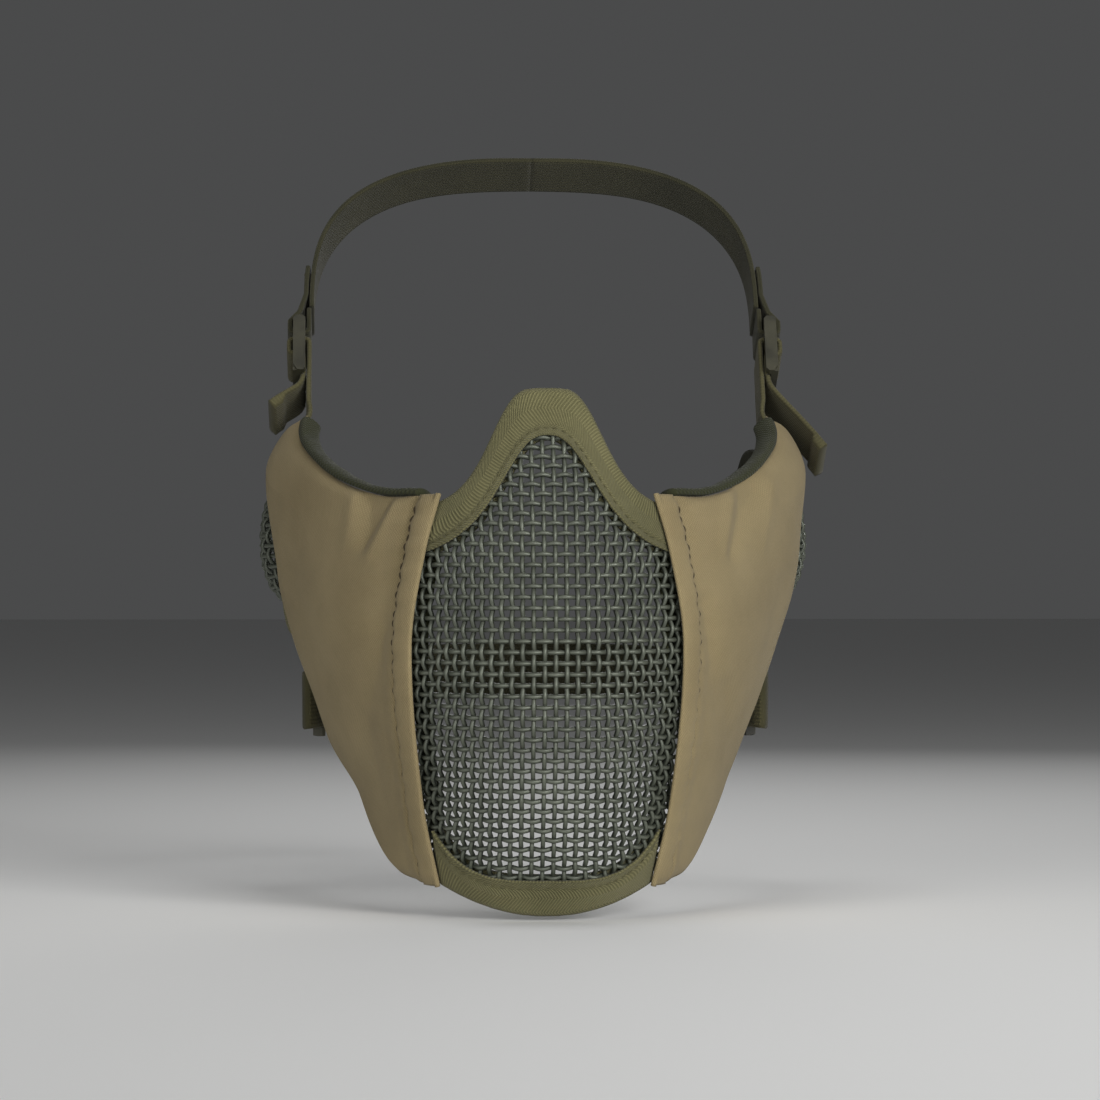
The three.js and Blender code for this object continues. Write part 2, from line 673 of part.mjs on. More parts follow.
function side(name) {
  const group = new THREE.Group();
  group.add(mesh(`hem_${name}`, hemOutside(), colours.fabric));
  group.add(mesh(`hem_lining_${name}`, hemInside(), colours.lining));
  group.add(mesh(`cheek_cover_${name}`, cheekCover(), colours.fabric));
  group.add(mesh(`cheek_pad_${name}`, cheekPad(), colours.lining));
  group.add(mesh(`top_binding_${name}`, topTape(), colours.tape));

  group.add(mesh(`ear_hinge_${name}`, earHinge(), colours.tape));

  const earGroup = new THREE.Group();
  earGroup.add(mesh(`ear_mesh_${name}`, earMesh(), colours.wire, 0.45, 0.4));
  earGroup.add(mesh(`ear_rim_${name}`, earRim(), colours.tape));
  earGroup.add(mesh(`ear_seal_${name}`, earSeal(), colours.foam));
  earGroup.position.set(sideAt(-earHingeY, ear.centreHeight) - ear.recess, earHingeY, ear.centreHeight);
  earGroup.rotation.z = degrees(ear.lean);
  group.add(earGroup);

  for (const strap of [crown, nape]) {
    const tail = tails[name][strap.name];
    group.add(mesh(`${strap.name}_webbing_${name}`, standingWebbing(strap), colours.webbing));
    group.add(placedLock(strap, `${strap.name}_lock_${name}`));
    group.add(mesh(`${strap.name}_wrap_${name}`, wrappedWebbing(strap), colours.webbing));
    group.add(mesh(`${strap.name}_loop_${name}`, elasticLoop(strap), colours.elastic));
    group.add(mesh(`${strap.name}_tail_${name}`, looseTail(strap, tail), colours.webbing));
  }
  if (name === "right") group.scale.x = -1;
  return group;
}

const mask = new THREE.Group();
mask.add(mesh("face_mesh", faceMesh(), colours.wire, 0.45, 0.4));
mask.add(mesh("nose_binding", noseBinding(), colours.tape));
mask.add(mesh("chin_binding", chinBinding(), colours.tape));
mask.add(mesh("nose_pad", nosePad(), colours.foam));
mask.add(side("left"), side("right"));
for (const strap of [crown, nape]) {
  mask.add(mesh(`${strap.name}_strap`, elasticStrap(strap), colours.elastic));
}

export default mask;
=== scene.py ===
# %% [markdown]
# # A half face mask of woven wire, padded cloth and webbing
#
# The mask has a woven wire mesh over the nose and mouth, tan cloth cheek panels with a dark padded
# lining, a domed wire cover over each ear, and two elastic straps that ladder locks draw up.
#
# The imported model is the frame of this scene. It fixes where every piece is and what it moves with, so
# each cell below only makes a finer surface in the same place. We start by reading that frame and its
# box.

import bmesh
import bpy
import numpy as np
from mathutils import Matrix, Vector


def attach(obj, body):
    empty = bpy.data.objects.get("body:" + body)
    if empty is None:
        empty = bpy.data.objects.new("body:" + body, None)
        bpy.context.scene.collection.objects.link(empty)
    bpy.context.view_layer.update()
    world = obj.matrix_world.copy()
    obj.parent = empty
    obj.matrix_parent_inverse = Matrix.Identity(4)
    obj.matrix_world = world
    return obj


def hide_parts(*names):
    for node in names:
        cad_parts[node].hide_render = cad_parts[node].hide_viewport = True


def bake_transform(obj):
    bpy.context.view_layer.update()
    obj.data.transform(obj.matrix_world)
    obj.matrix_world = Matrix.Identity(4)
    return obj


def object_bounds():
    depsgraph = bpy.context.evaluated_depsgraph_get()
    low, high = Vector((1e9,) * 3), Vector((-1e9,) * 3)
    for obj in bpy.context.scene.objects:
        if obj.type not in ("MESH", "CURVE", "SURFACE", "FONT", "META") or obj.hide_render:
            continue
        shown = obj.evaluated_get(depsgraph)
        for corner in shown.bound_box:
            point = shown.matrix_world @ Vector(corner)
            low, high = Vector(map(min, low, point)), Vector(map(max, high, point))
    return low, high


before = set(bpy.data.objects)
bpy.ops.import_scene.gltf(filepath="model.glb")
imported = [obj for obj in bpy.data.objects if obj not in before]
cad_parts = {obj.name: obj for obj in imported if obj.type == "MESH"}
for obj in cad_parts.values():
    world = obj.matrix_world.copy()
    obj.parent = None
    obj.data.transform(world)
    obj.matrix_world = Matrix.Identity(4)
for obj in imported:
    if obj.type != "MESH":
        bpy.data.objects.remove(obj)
cad_bounds = [list(corner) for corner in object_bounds()]
MM = 0.001

# %% [markdown]
# ## The shell that everything lies on
#
# A worn mask is one smooth form, so all its panels can lie on one surface. At each height the surface is
# half a superellipse, |x / a|^n + |y / b|^n = 1. A power n near 1.5 gives the pointed muzzle, and one
# near 2 a rounder chin. Lengths are in millimetres until a mesh is made, which keeps the numbers easy to
# read.

# %% The shell's own sizes
TOP, CHIN = 46.5, -122.5
HALF_WIDTH, DEPTH = 91.8, 128.0
RIDGE, TUCK, TUCK_SPAN = 6.0, 6.0, 40.0


def through(pairs):
    """A smooth curve through (at, value) pairs: cubic Hermite pieces with slopes from their neighbours."""
    x, y = np.array(pairs, float).T
    before, after = np.r_[0, 0 : len(x) - 1], np.r_[1 : len(x), len(x) - 1]
    slope = (y[after] - y[before]) / (x[after] - x[before])

    def read(at):
        at = np.clip(at, x[0], x[-1])
        i = np.clip(np.searchsorted(x, at, side="right") - 1, 0, len(x) - 2)
        width = x[i + 1] - x[i]
        t = (at - x[i]) / width
        value = y[i] * (1 + 2 * t) * (1 - t) ** 2 + y[i + 1] * t * t * (3 - 2 * t)
        return value + width * t * (1 - t) * (slope[i] * (1 - t) - slope[i + 1] * t)

    return read


def level(z):
    return (z - CHIN) / (TOP - CHIN)


def at_level(share):
    return CHIN + share * (TOP - CHIN)


def smooth(low, high, t):
    """Rises from 0 at low to 1 at high along 3t^2 - 2t^3."""
    t = np.clip((t - low) / (high - low), 0, 1)
    return t * t * (3 - 2 * t)


def mix(a, b, t):
    return a + (b - a) * t


def unit(vectors):
    return vectors / np.linalg.norm(vectors, axis=-1, keepdims=True)


def walked(points):
    """How far along a path each of its points is."""
    return np.r_[0, np.cumsum(np.linalg.norm(np.diff(points, axis=0), axis=1))]


width_share = through([
    (0, 0.61), (0.109, 0.641), (0.246, 0.701), (0.388, 0.8), (0.595, 0.94),
    (0.725, 0.98), (0.855, 1), (0.92, 0.95), (0.967, 0.888), (1, 0.845),
])
depth_share = through([
    (0, 0.773), (0.133, 0.867), (0.251, 0.938), (0.399, 0.992), (0.547, 1),
    (0.689, 0.961), (0.796, 0.898), (0.908, 0.813), (1, 0.773),
])
print("shell: %.0f mm high, %.0f mm wide" % (TOP - CHIN, 2 * HALF_WIDTH))


# %% The shell as a surface
def plan(z):
    """The superellipse at a height: half width a, half depth b and power n."""
    a = np.hypot(HALF_WIDTH * width_share(level(z)), RIDGE) - RIDGE
    return a, DEPTH * depth_share(level(z)), mix(1.9, 1.5, smooth(0.1, 0.75, level(z)))


def depth_at(x, z):
    """How far ahead of the ears the shell is: b (1 - |x / a|^n)^(1 / n), its ridge rounded by hypot."""
    a, b, n = plan(z)
    share = (np.hypot(x, RIDGE) - RIDGE) / a
    return b * (1 - np.minimum(share, 1) ** n) ** (1 / n)


def side_at(depth, z):
    """How far out the shell is: the same superellipse solved for x, turned in a little behind the ears."""
    a, b, n = plan(z)
    out = a * (1 - np.minimum(np.abs(depth) / b, 1) ** n) ** (1 / n) + RIDGE
    tuck = TUCK * smooth(-TUCK_SPAN / 2, TUCK_SPAN / 2, -depth)
    return np.sqrt(out**2 - RIDGE**2) - tuck


def on_front(x, z):
    return np.stack(np.broadcast_arrays(x, -depth_at(x, z), z), -1)


def on_side(y, z):
    return np.stack(np.broadcast_arrays(side_at(-y, z), y, z), -1)


def normal_of(surface, u, v, step=0.05):
    """The unit normal, from the cross product of a short step across and a short step up."""
    across = surface(u + step, v) - surface(u - step, v)
    up = surface(u, v + step) - surface(u, v - step)
    return unit(np.cross(across, up))


def front_point(x, z, out):
    x, z, out = np.broadcast_arrays(x, z, out)
    return on_front(x, z) + normal_of(on_front, x, z) * out[..., None]


def side_point(depth, z, out):
    depth, z, out = np.broadcast_arrays(depth, z, out)
    return on_side(-depth, z) + normal_of(on_side, -depth, z) * out[..., None]


print("front of the muzzle is %.0f mm ahead of the ears" % depth_at(0.0, -30.0))

# %% [markdown]
# ## The lines that cut the shell into panels
#
# A bell curve, base + rise / (1 + |x / spread|^power), gives the arch over the nose. The chin's edge is a
# parabola. The cheek's front edge is a seam that bows out at mid height.

# %% Seams and edges
SEAM_HALF, SEAM_MARGIN = 41.0, 6.0
SEAM_ENDS, PANEL_ENDS = (0.05, 0.796), (0.056, 0.794)
seam_share = through([(0.05, 0.767), (0.222, 0.907), (0.512, 1), (0.689, 0.895), (0.796, 0.779)])


def bell(x, base, rise, spread, power):
    return base + rise / (1 + np.abs(x / spread) ** power)


def nose_outer(x):
    return bell(x, 6, 40.5, 19.4, 4)


def nose_inner(x):
    return bell(x, -12, 43, 18.2, 2.5)


def nose_inner_x(x):
    """Where the tape's inner edge lies across from a point of its outer edge."""
    return x * (0.62 + 0.53 * (x / SEAM_TOP) ** 2)


def seam_x(z):
    return SEAM_HALF * seam_share(level(z))


SEAM_BOTTOM, SEAM_TOP = (seam_x(at_level(end)) for end in SEAM_ENDS)


def chin_outer(x):
    return CHIN + 8.5 * (x / SEAM_BOTTOM) ** 2


def chin_inner(x):
    return CHIN + 12 + 16.5 * np.abs(x / (SEAM_BOTTOM + 4.5)) ** 4


def behind_seam(z, distance, count=8):
    """The depth of the point a distance behind the seam, walked over the shell in short steps."""
    z, distance = np.broadcast_arrays(np.asarray(z, float), np.asarray(distance, float))
    depth = depth_at(seam_x(z), z)
    for _ in range(count):
        run = (side_at(depth - 1, z) - side_at(depth + 1, z)) / 2
        depth = depth - distance / count / np.hypot(1, run)
    return depth


print("seams at x = %.0f mm, %.0f mm at the top" % (SEAM_HALF, SEAM_TOP))

# %% Edges of the cheek panels
EAR_LENGTH, EAR_HEIGHT, EAR_Z, EAR_GAP = 57.0, 66.0, -2.0, 2.0
EAR_HINGE_Y = -11.0
CROWN_TILT = np.radians(29)
SLANT_PAST, SLANT_LENGTH, TOP_RISE, BOTTOM_DROP = 12.87, 25, 9, 33
HORN_Y = EAR_HINGE_Y + SLANT_PAST - SLANT_LENGTH * np.cos(CROWN_TILT)
REAR_TOP = EAR_Z + EAR_HEIGHT / 2 + TOP_RISE
REAR_BOTTOM = EAR_Z - EAR_HEIGHT / 2 - BOTTOM_DROP
HEM, FOLD = 9.0, 2.2

top_share = through([(0, 0), (0.17, 0.023), (0.38, 0.184), (0.58, 0.417), (0.79, 0.66), (1, 1)])
bottom_share = through([(0, 0), (0.25, 0.067), (0.45, 0.289), (0.65, 0.6), (0.85, 0.844), (1, 1)])


def rear_edge(z):
    """The panel's rear edge: an arc beside the ear cover, then the slant that the crown strap leaves."""
    share = np.minimum(np.abs(z - EAR_Z) / (EAR_HEIGHT / 2 + EAR_GAP), 1)
    middle = EAR_HINGE_Y + EAR_LENGTH / 2
    beside = middle - (EAR_LENGTH / 2 + EAR_GAP) * np.sqrt(1 - share**2)
    slant = HORN_Y + (REAR_TOP - z) / np.tan(CROWN_TILT)
    return np.minimum(beside, np.where(z > EAR_Z, slant, EAR_HINGE_Y))


def cheek_top(along):
    return mix(at_level(PANEL_ENDS[1]), REAR_TOP, top_share(along))


def cheek_bottom(along):
    return mix(at_level(PANEL_ENDS[0]), REAR_BOTTOM, bottom_share(along))


def cheek_depth(along, z, up, start=HEM + FOLD):
    """From the front edge, at along = 0, to the rear edge, at along = 1. up is the share of the rear edge's
    height at which the line ends."""
    return mix(behind_seam(z, start), -rear_edge(mix(REAR_BOTTOM, REAR_TOP, up)), along)


heights = cheek_top(0) - cheek_bottom(0), REAR_TOP - REAR_BOTTOM
print("cheek panel: %.0f mm at the front, %.0f mm at the rear" % heights)

# %% [markdown]
# ## Turning grids of points into meshes
#
# Every new piece is a grid of points: a shape with two parameters, or a section carried along a path. One
# helper closes the section and caps the ends. Another makes an open sheet and gives it a thickness with
# Solidify. The UV map is in metres along and across the cloth, so a weave keeps its true scale on every
# piece.

# %% From a grid to a mesh
def add_object(name, data):
    made = bpy.data.objects.new(name, data)
    bpy.context.scene.collection.objects.link(made)
    return made


def read_points(mesh):
    points = np.empty(len(mesh.vertices) * 3)
    mesh.vertices.foreach_get("co", points)
    return points.reshape(-1, 3)


def make_mesh(name, points, quads, uv, extra=()):
    """Puts points (n, 3) in millimetres and quads into a smooth mesh; uv is one (u, v) per corner."""
    mesh = bpy.data.meshes.new(name)
    faces = [list(map(int, q)) for q in quads] + [list(map(int, f)) for f in extra]
    mesh.from_pydata((np.asarray(points, float) * MM).tolist(), [], faces)
    layer = mesh.uv_layers.new(name="cloth")
    corners = np.zeros((len(mesh.loops), 2), np.float32)
    corners[: len(uv)] = np.asarray(uv) * MM
    layer.data.foreach_set("uv", corners.ravel())
    mesh.polygons.foreach_set("use_smooth", [True] * len(mesh.polygons))
    mesh.update()
    return add_object(name, mesh)


def outwards(made):
    """Turns every face of a closed mesh outwards, by the sign of the volume that its triangles enclose."""
    mesh = made.data
    mesh.calc_loop_triangles()
    corners = np.empty(len(mesh.loop_triangles) * 3, int)
    mesh.loop_triangles.foreach_get("vertices", corners)
    a, b, c = read_points(mesh)[corners].reshape(-1, 3, 3).transpose(1, 0, 2)
    if np.einsum("ij,ij->i", a, np.cross(b, c)).sum() < 0:
        mesh.flip_normals()
    return made


def grid_quads(rows, columns, loop_rows=False, loop_columns=False):
    """The corners of each cell of a rows by columns grid of points, with a wrap round either way."""
    i, j = np.meshgrid(
        np.arange(rows if loop_rows else rows - 1),
        np.arange(columns if loop_columns else columns - 1), indexing="ij")
    i, j = i.ravel(), j.ravel()
    k, m = (i + 1) % rows, (j + 1) % columns
    return np.stack([i * columns + j, k * columns + j, k * columns + m, i * columns + m], 1), (i, j)


def cell_uv(uv, i, j):
    """The four corners of each cell in a grid of (u, v), in the order of grid_quads."""
    return uv[[i, i + 1, i + 1, i], [j, j, j + 1, j + 1]].transpose(1, 0, 2).reshape(-1, 2)


def grid_uv(u, v):
    return np.stack(np.broadcast_arrays(u[:, None], v[None]), -1)


def swept(name, rings, lengths, across, loop=False):
    """A closed section carried along a path. rings is (stations, section, 3). lengths is how far along each
    station is and across how far over each section point is, which make the UV map."""
    n, m = rings.shape[:2]
    quads, (i, j) = grid_quads(n, m, loop_rows=loop, loop_columns=True)
    step = lengths[1] - lengths[0]
    uv = cell_uv(grid_uv(np.r_[lengths, lengths[-1] + step], np.r_[across, across[0]]), i, j)
    caps = []
    if not loop:
        half = np.arange(m // 2 - 1)
        near = np.stack([half, half + 1, m - 2 - half, m - 1 - half], 1)
        caps = [*near.tolist(), *((near[:, ::-1] + (n - 1) * m).tolist())]
    return outwards(make_mesh(name, rings.reshape(-1, 3), quads, uv, caps))


def cloth_sheet(name, points, uv, thickness):
    """An open sheet from a grid of points, thickened by Solidify towards its inner side. Its cells are
    turned round, because a grid that runs back and up has its normals inwards."""
    quads, (i, j) = grid_quads(*points.shape[:2])
    corners = cell_uv(uv, i, j).reshape(-1, 4, 2)[:, ::-1].reshape(-1, 2)
    made = make_mesh(name, points.reshape(-1, 3), quads[:, ::-1], corners)
    solid = made.modifiers.new("thickness", "SOLIDIFY")
    solid.thickness = thickness * MM
    solid.offset = -1.0
    return made


def apply_modifiers(made):
    """Replaces the mesh with what its modifiers make, and removes them."""
    depsgraph = bpy.context.evaluated_depsgraph_get()
    result = bpy.data.meshes.new_from_object(made.evaluated_get(depsgraph), depsgraph=depsgraph)
    made.modifiers.clear()
    made.data = result


def mirrored(points, side):
    """The same points for the wearer's left, side 1, or right, side -1."""
    return points * np.array([side, 1, 1])


SIDES = (("left", 1), ("right", -1))
print("helpers: swept sections and cloth sheets")

# %% [markdown]
# ## Woven wire
#
# Pressed steel cloth is a plain weave: each wire goes over one and under the next. A wire's height over
# the shell is the weave's rise times cos(pi (crossing + its own number)), and the wires of the other set
# have the opposite sign, so the two sets pass each other at every crossing. Each wire is a thin six-sided
# tube. The weave is laid out in arc length over the shell, which keeps its pitch even where the shell
# turns away at the sides.

# %% Arc length over the front
WIRE_PITCH, WIRE_RADIUS, WEAVE_RISE = 3.5, 0.8, 0.62
STEPS_PER_PITCH, FEWEST_STEPS, WIDEST_COLUMN = 4, 8, 18

profile_z = np.linspace(CHIN, TOP, 800)
profile_run = walked(np.stack([profile_z, depth_at(0.0, profile_z)], -1))
ROWS = int(profile_run[-1] / WIRE_PITCH)


def row_height(row):
    """The height of a row of the weave, counted in pitches along the ridge from the chin."""
    return np.interp(row * WIRE_PITCH, profile_run, profile_z)


def column_x(column, z):
    """How far out a column of the weave is at a height: arc length over the level curve, turned back into
    x."""
    levels, reach_x = np.linspace(CHIN, TOP, 120), np.linspace(0, 62, 400)
    run = np.hypot(np.diff(reach_x), np.diff(depth_at(reach_x[None, :], levels[:, None]), axis=1))
    run = np.c_[np.zeros(len(levels)), np.cumsum(run, 1)]
    table = np.stack([np.interp(np.abs(column) * WIRE_PITCH, r, reach_x) for r in run])
    where = np.clip(level(z), 0, 1) * (len(levels) - 1)
    i = np.clip(where.astype(int), 0, len(levels) - 2)
    t = where - i
    j = np.arange(table.shape[1])
    return np.sign(column) * mix(table[i, j], table[i + 1, j], t)


print("weave:", ROWS, "rows of", WIRE_PITCH, "mm")


# %% A woven panel from a weave layout
def tube(path, normal, radius, sides=6):
    """A round wire along a path: each ring is cos(angle) normal + sin(angle) (tangent x normal)."""
    tangent = unit(np.gradient(path, axis=0))
    side = unit(np.cross(tangent, normal))
    up = np.cross(side, tangent)
    angle = (np.arange(sides) * 2 * np.pi / sides)[:, None]
    return path[:, None] + radius * (np.cos(angle) * up[:, None] + np.sin(angle) * side[:, None])


def wire_mesh(name, wires, radius):
    """Joins many wires into one mesh. wires is a list of (paths, normals), each with its own number of
    steps. The attribute crest is 1 on top of a wire and 0 under it. The wire finish reads it for the
    paint's wear and for a painted highlight on each wire's outward side."""
    points, quads, uvs, caps, crest, base = [], [], [], [], [], 0
    for path, normal in wires:
        rings = tube(path, normal, radius)
        n, m = rings.shape[:2]
        cells, (i, j) = grid_quads(n, m, loop_columns=True)
        uvs.append(cell_uv(grid_uv(walked(path), np.arange(m + 1) * radius), i, j))
        quads.append(cells + base)
        ring = np.arange(m)
        caps += [(ring[::-1] + base).tolist(), (ring + base + (n - 1) * m).tolist()]
        crest.append(np.einsum("nmk,nk->nm", rings - path[:, None], normal).ravel() / radius)
        points.append(rings.reshape(-1, 3))
        base += n * m
    made = make_mesh(name, np.concatenate(points), np.concatenate(quads), np.concatenate(uvs), caps)
    layer = made.data.attributes.new("crest", "FLOAT", "POINT")
    layer.data.foreach_set("value", (np.concatenate(crest) * 0.5 + 0.5).astype(np.float32))
    return outwards(made)


def longest_run(inside):
    """The first and last place of the longest stretch of True."""
    edges = np.flatnonzero(np.diff(np.r_[0, inside.astype(int), 0]))
    if not len(edges):
        return 0, 0
    starts, ends = edges[::2], edges[1::2]
    best = np.argmax(ends - starts)
    return starts[best], ends[best]


print("wire: %.1f mm thick" % (2 * WIRE_RADIUS))

# %% The face mesh
TAPE_COVER, CHIN_COVER = 2.2, 2.0


def on_panel(x, z):
    """True where the wire panel is: inside the nose arch and the chin, and a little way under the hems."""
    edge = side_at(behind_seam(z, SEAM_MARGIN), z)
    return (z < nose_outer(x) - TAPE_COVER) & (z > chin_outer(x) + CHIN_COVER) & (np.abs(x) < edge)


def shell_wire(x, z, crossing, sign):
    """The part of a wire that lies on the panel, as a list of one, or of none where that part is too
    short."""
    first, last = longest_run(on_panel(x, z))
    if last - first <= FEWEST_STEPS:
        return []
    x, z, crossing = x[first:last], z[first:last], crossing[first:last]
    normal = normal_of(on_front, x, z)
    height = sign * WEAVE_RISE * np.cos(np.pi * crossing)
    return [(on_front(x, z) + normal * height[:, None], normal)]


def face_wires():
    """The columns, which climb from the chin, and then the rows that cross them."""
    wires = []
    rows = np.arange(0, ROWS, 1 / STEPS_PER_PITCH)
    z = row_height(rows)
    for column in np.arange(0.5 - WIDEST_COLUMN, WIDEST_COLUMN, 1.0):
        wires += shell_wire(column_x(np.full_like(rows, column), z), z, rows + column + 0.5, 1)
    columns = np.arange(-WIDEST_COLUMN, WIDEST_COLUMN, 1 / STEPS_PER_PITCH)
    for row in np.arange(1, ROWS):
        z = np.full(len(columns), row_height(row))
        wires += shell_wire(column_x(columns, z), z, columns + row + 0.5, -1)
    return wires


face_mesh = wire_mesh("face_mesh_wire", face_wires(), WIRE_RADIUS)
print("face mesh:", len(face_mesh.data.polygons), "faces")

# %% [markdown]
# ## Finishes
#
# Every finish is a small node tree. Cloth reads the piece's own UV map, which is in metres, so its
# threads have their real pitch. A weave is the product of two sine waves, one along each set of threads,
# and it drives the bump and a slight change of colour. Noise in Object coordinates adds the slower change
# of tone that dyed cloth and sprayed paint have.

# %% Node helpers
def srgb(red, green, blue):
    """A colour of 0 to 255 values as linear values."""
    value = np.array([red, green, blue]) / 255
    return (*np.where(value < 0.04045, value / 12.92, ((value + 0.055) / 1.055) ** 2.4), 1.0)


class Finish:
    """A Principled material, and short ways to add nodes to it."""

    def __init__(self, name, roughness, metallic=0.0, sheen=0.0, specular=0.3):
        self.material = bpy.data.materials.new(name)
        self.material.use_nodes = True
        self.tree = self.material.node_tree
        self.shader = self.tree.nodes["Principled BSDF"]
        self.shader.inputs["Roughness"].default_value = roughness
        self.shader.inputs["Metallic"].default_value = metallic
        self.shader.inputs["Specular IOR Level"].default_value = specular
        if sheen:
            self.shader.inputs["Sheen Weight"].default_value = sheen
            self.shader.inputs["Sheen Roughness"].default_value = 0.5

    def feed(self, socket, value):
        if isinstance(value, bpy.types.NodeSocket):
            self.tree.links.new(value, socket)
        else:
            socket.default_value = value

    def maths(self, operation, a, b=0.0, c=0.0):
        node = self.tree.nodes.new("ShaderNodeMath")
        node.operation = operation
        for socket, value in zip(node.inputs, (a, b, c)):
            self.feed(socket, value)
        return node.outputs[0]

    def coordinates(self, kind):
        return self.tree.nodes.new("ShaderNodeTexCoord").outputs[kind]

    def cloth_axes(self):
        """The UV map's two directions, in metres: along the cloth and across it."""
        split = self.tree.nodes.new("ShaderNodeSeparateXYZ")
        self.feed(split.inputs[0], self.coordinates("UV"))
        return split.outputs[0], split.outputs[1]

    def wave(self, along, period):
        """A sine wave from -1 to 1 with a period in metres."""
        return self.maths("SINE", self.maths("MULTIPLY", along, 2 * np.pi / period))

    def times_plus(self, a, b, c):
        return self.maths("MULTIPLY_ADD", a, b, c)

    def noise(self, scale, detail=3.0):
        node = self.tree.nodes.new("ShaderNodeTexNoise")
        self.feed(node.inputs["Vector"], self.coordinates("Object"))
        node.inputs["Scale"].default_value = scale
        node.inputs["Detail"].default_value = detail
        node.inputs["Roughness"].default_value = 0.55
        return node.outputs["Fac"]

    def blend(self, factor, first, second):
        node = self.tree.nodes.new("ShaderNodeMix")
        node.data_type = "RGBA"
        self.feed(node.inputs[0], factor)
        self.feed(node.inputs[6], first)
        self.feed(node.inputs[7], second)
        return node.outputs[2]

    def between(self, value, low, high):
        """Rises from 0 where value is low to 1 where it is high."""
        node = self.tree.nodes.new("ShaderNodeMapRange")
        for socket, number in zip(node.inputs, (value, low, high)):
            self.feed(socket, number)
        return node.outputs[0]

    def bump(self, height, depth):
        """Bump of a real depth in metres, from a height of 0 to 1."""
        node = self.tree.nodes.new("ShaderNodeBump")
        node.inputs["Strength"].default_value = 1.0
        node.inputs["Distance"].default_value = depth
        self.feed(node.inputs["Height"], height)
        self.feed(self.shader.inputs["Normal"], node.outputs["Normal"])

    def colour(self, value):
        self.feed(self.shader.inputs["Base Color"], value)


print("node helpers ready")

# %% Cloth finishes
def woven(name, dark, light, threads, depth, pattern="plain"):
    """Cloth between a dark and a light tone. threads is the pitch along and across in millimetres."""
    made = Finish(name, 0.95, sheen=0.06, specular=0.2)
    u, v = made.cloth_axes()
    pitch_u, pitch_v = threads[0] * MM, threads[1] * MM
    if pattern == "herringbone":
        zigzag = made.maths("PINGPONG", v, pitch_v)
        height = made.times_plus(made.wave(made.times_plus(zigzag, 1.1, u), pitch_u), 0.5, 0.5)
    elif pattern == "ribbed":
        ribs = made.maths("ABSOLUTE", made.wave(v, 2 * pitch_v))
        ticks = made.wave(made.times_plus(v, 0.5, u), pitch_u)
        height = made.times_plus(made.maths("MULTIPLY", ribs, ticks), 0.2, made.maths("MULTIPLY", ribs, 0.7))
    else:
        crossing = made.maths("MULTIPLY", made.wave(u, pitch_u), made.wave(v, pitch_v))
        height = made.times_plus(crossing, 0.5, 0.5)
    slow, fine = made.noise(35.0, detail=4.0), made.noise(2400.0, detail=2.0)
    uneven = made.times_plus(slow, 0.6, made.maths("MULTIPLY", fine, 0.35))
    shade = made.times_plus(height, 0.35, uneven)
    made.colour(made.blend(made.between(shade, 0.35, 0.95), dark, light))
    made.bump(made.times_plus(fine, 0.35, height), depth)
    return made.material


CLOTH = {
    "mask_fabric": woven("tan_cloth", srgb(112, 99, 70), srgb(144, 130, 97), (0.9, 0.9), 0.00012),
    "edge_tape": woven("herringbone_tape", srgb(72, 70, 45), srgb(112, 108, 76), (1.0, 3.0), 0.00022,
                       "herringbone"),
    "lining": woven("spacer_lining", srgb(32, 34, 20), srgb(56, 58, 36), (1.6, 1.6), 0.0003),
    "webbing": woven("webbing_weave", srgb(54, 52, 34), srgb(86, 82, 56), (1.2, 1.3), 0.0003, "ribbed"),
    "elastic": woven("ribbed_elastic", srgb(36, 36, 25), srgb(62, 60, 42), (1.0, 1.0), 0.00025, "ribbed"),
}
print("cloth finishes:", ", ".join(CLOTH))


# %% Thread, foam, plastic and painted wire
def thread_finish(name, dark, light):
    """Two tones that wind round the thread, as its twisted strands do."""
    made = Finish(name, 0.8)
    u, v = made.cloth_axes()
    twist = made.wave(made.maths("ADD", u, v), 0.0005)
    made.colour(made.blend(made.times_plus(twist, 0.5, 0.5), dark, light))
    return made.material


def foam_finish():
    """Dull foam, with a bump about as coarse as its cells."""
    made = Finish("closed_foam", 0.95, specular=0.12)
    cells = made.noise(900.0, detail=2.0)
    made.colour(made.blend(made.noise(60.0), srgb(30, 30, 22), srgb(52, 51, 40)))
    made.bump(cells, 0.0004)
    return made.material


def plastic_finish():
    """Satin nylon: a fine moulded grain, and slightly paler, duller patches where it has been rubbed."""
    made = Finish("satin_nylon", 0.46, specular=0.45)
    rubbed = made.between(made.noise(110.0, detail=5.0), 0.42, 0.7)
    made.colour(made.blend(rubbed, srgb(34, 33, 21), srgb(56, 54, 37)))
    made.feed(made.shader.inputs["Roughness"], made.times_plus(rubbed, 0.2, 0.4))
    made.bump(made.noise(2600.0), 0.00004)
    return made.material


def wire_finish():
    """Sprayed paint on steel. The attribute crest says where a wire stands proud, on its outward side: there
    the colour is paler and shinier, partly as worn paint in noise patches and partly as a painted
    highlight, and between the crests it keeps its dark green."""
    made = Finish("painted_wire", 0.5, metallic=0.35, specular=0.5)
    crest = made.tree.nodes.new("ShaderNodeAttribute")
    crest.attribute_name = "crest"
    patchy = made.noise(70.0, detail=5.0)
    # Pale tone: noise wear plus a painted highlight on each wire's outward side.
    wear_and_highlight = made.between(made.times_plus(patchy, 0.7, crest.outputs["Fac"]), 0.75, 1.6)
    made.colour(made.blend(wear_and_highlight, srgb(46, 50, 41), srgb(98, 102, 90)))
    made.feed(made.shader.inputs["Roughness"], made.times_plus(wear_and_highlight, -0.15, 0.55))
    made.bump(made.noise(1500.0), 0.00003)
    return made.material


CLOTH["foam"] = foam_finish()
PLASTIC, WIRE = plastic_finish(), wire_finish()
TAN_THREAD = thread_finish("tan_thread", srgb(46, 38, 24), srgb(70, 59, 40))
OLIVE_THREAD = thread_finish("olive_thread", srgb(60, 58, 36), srgb(96, 92, 62))


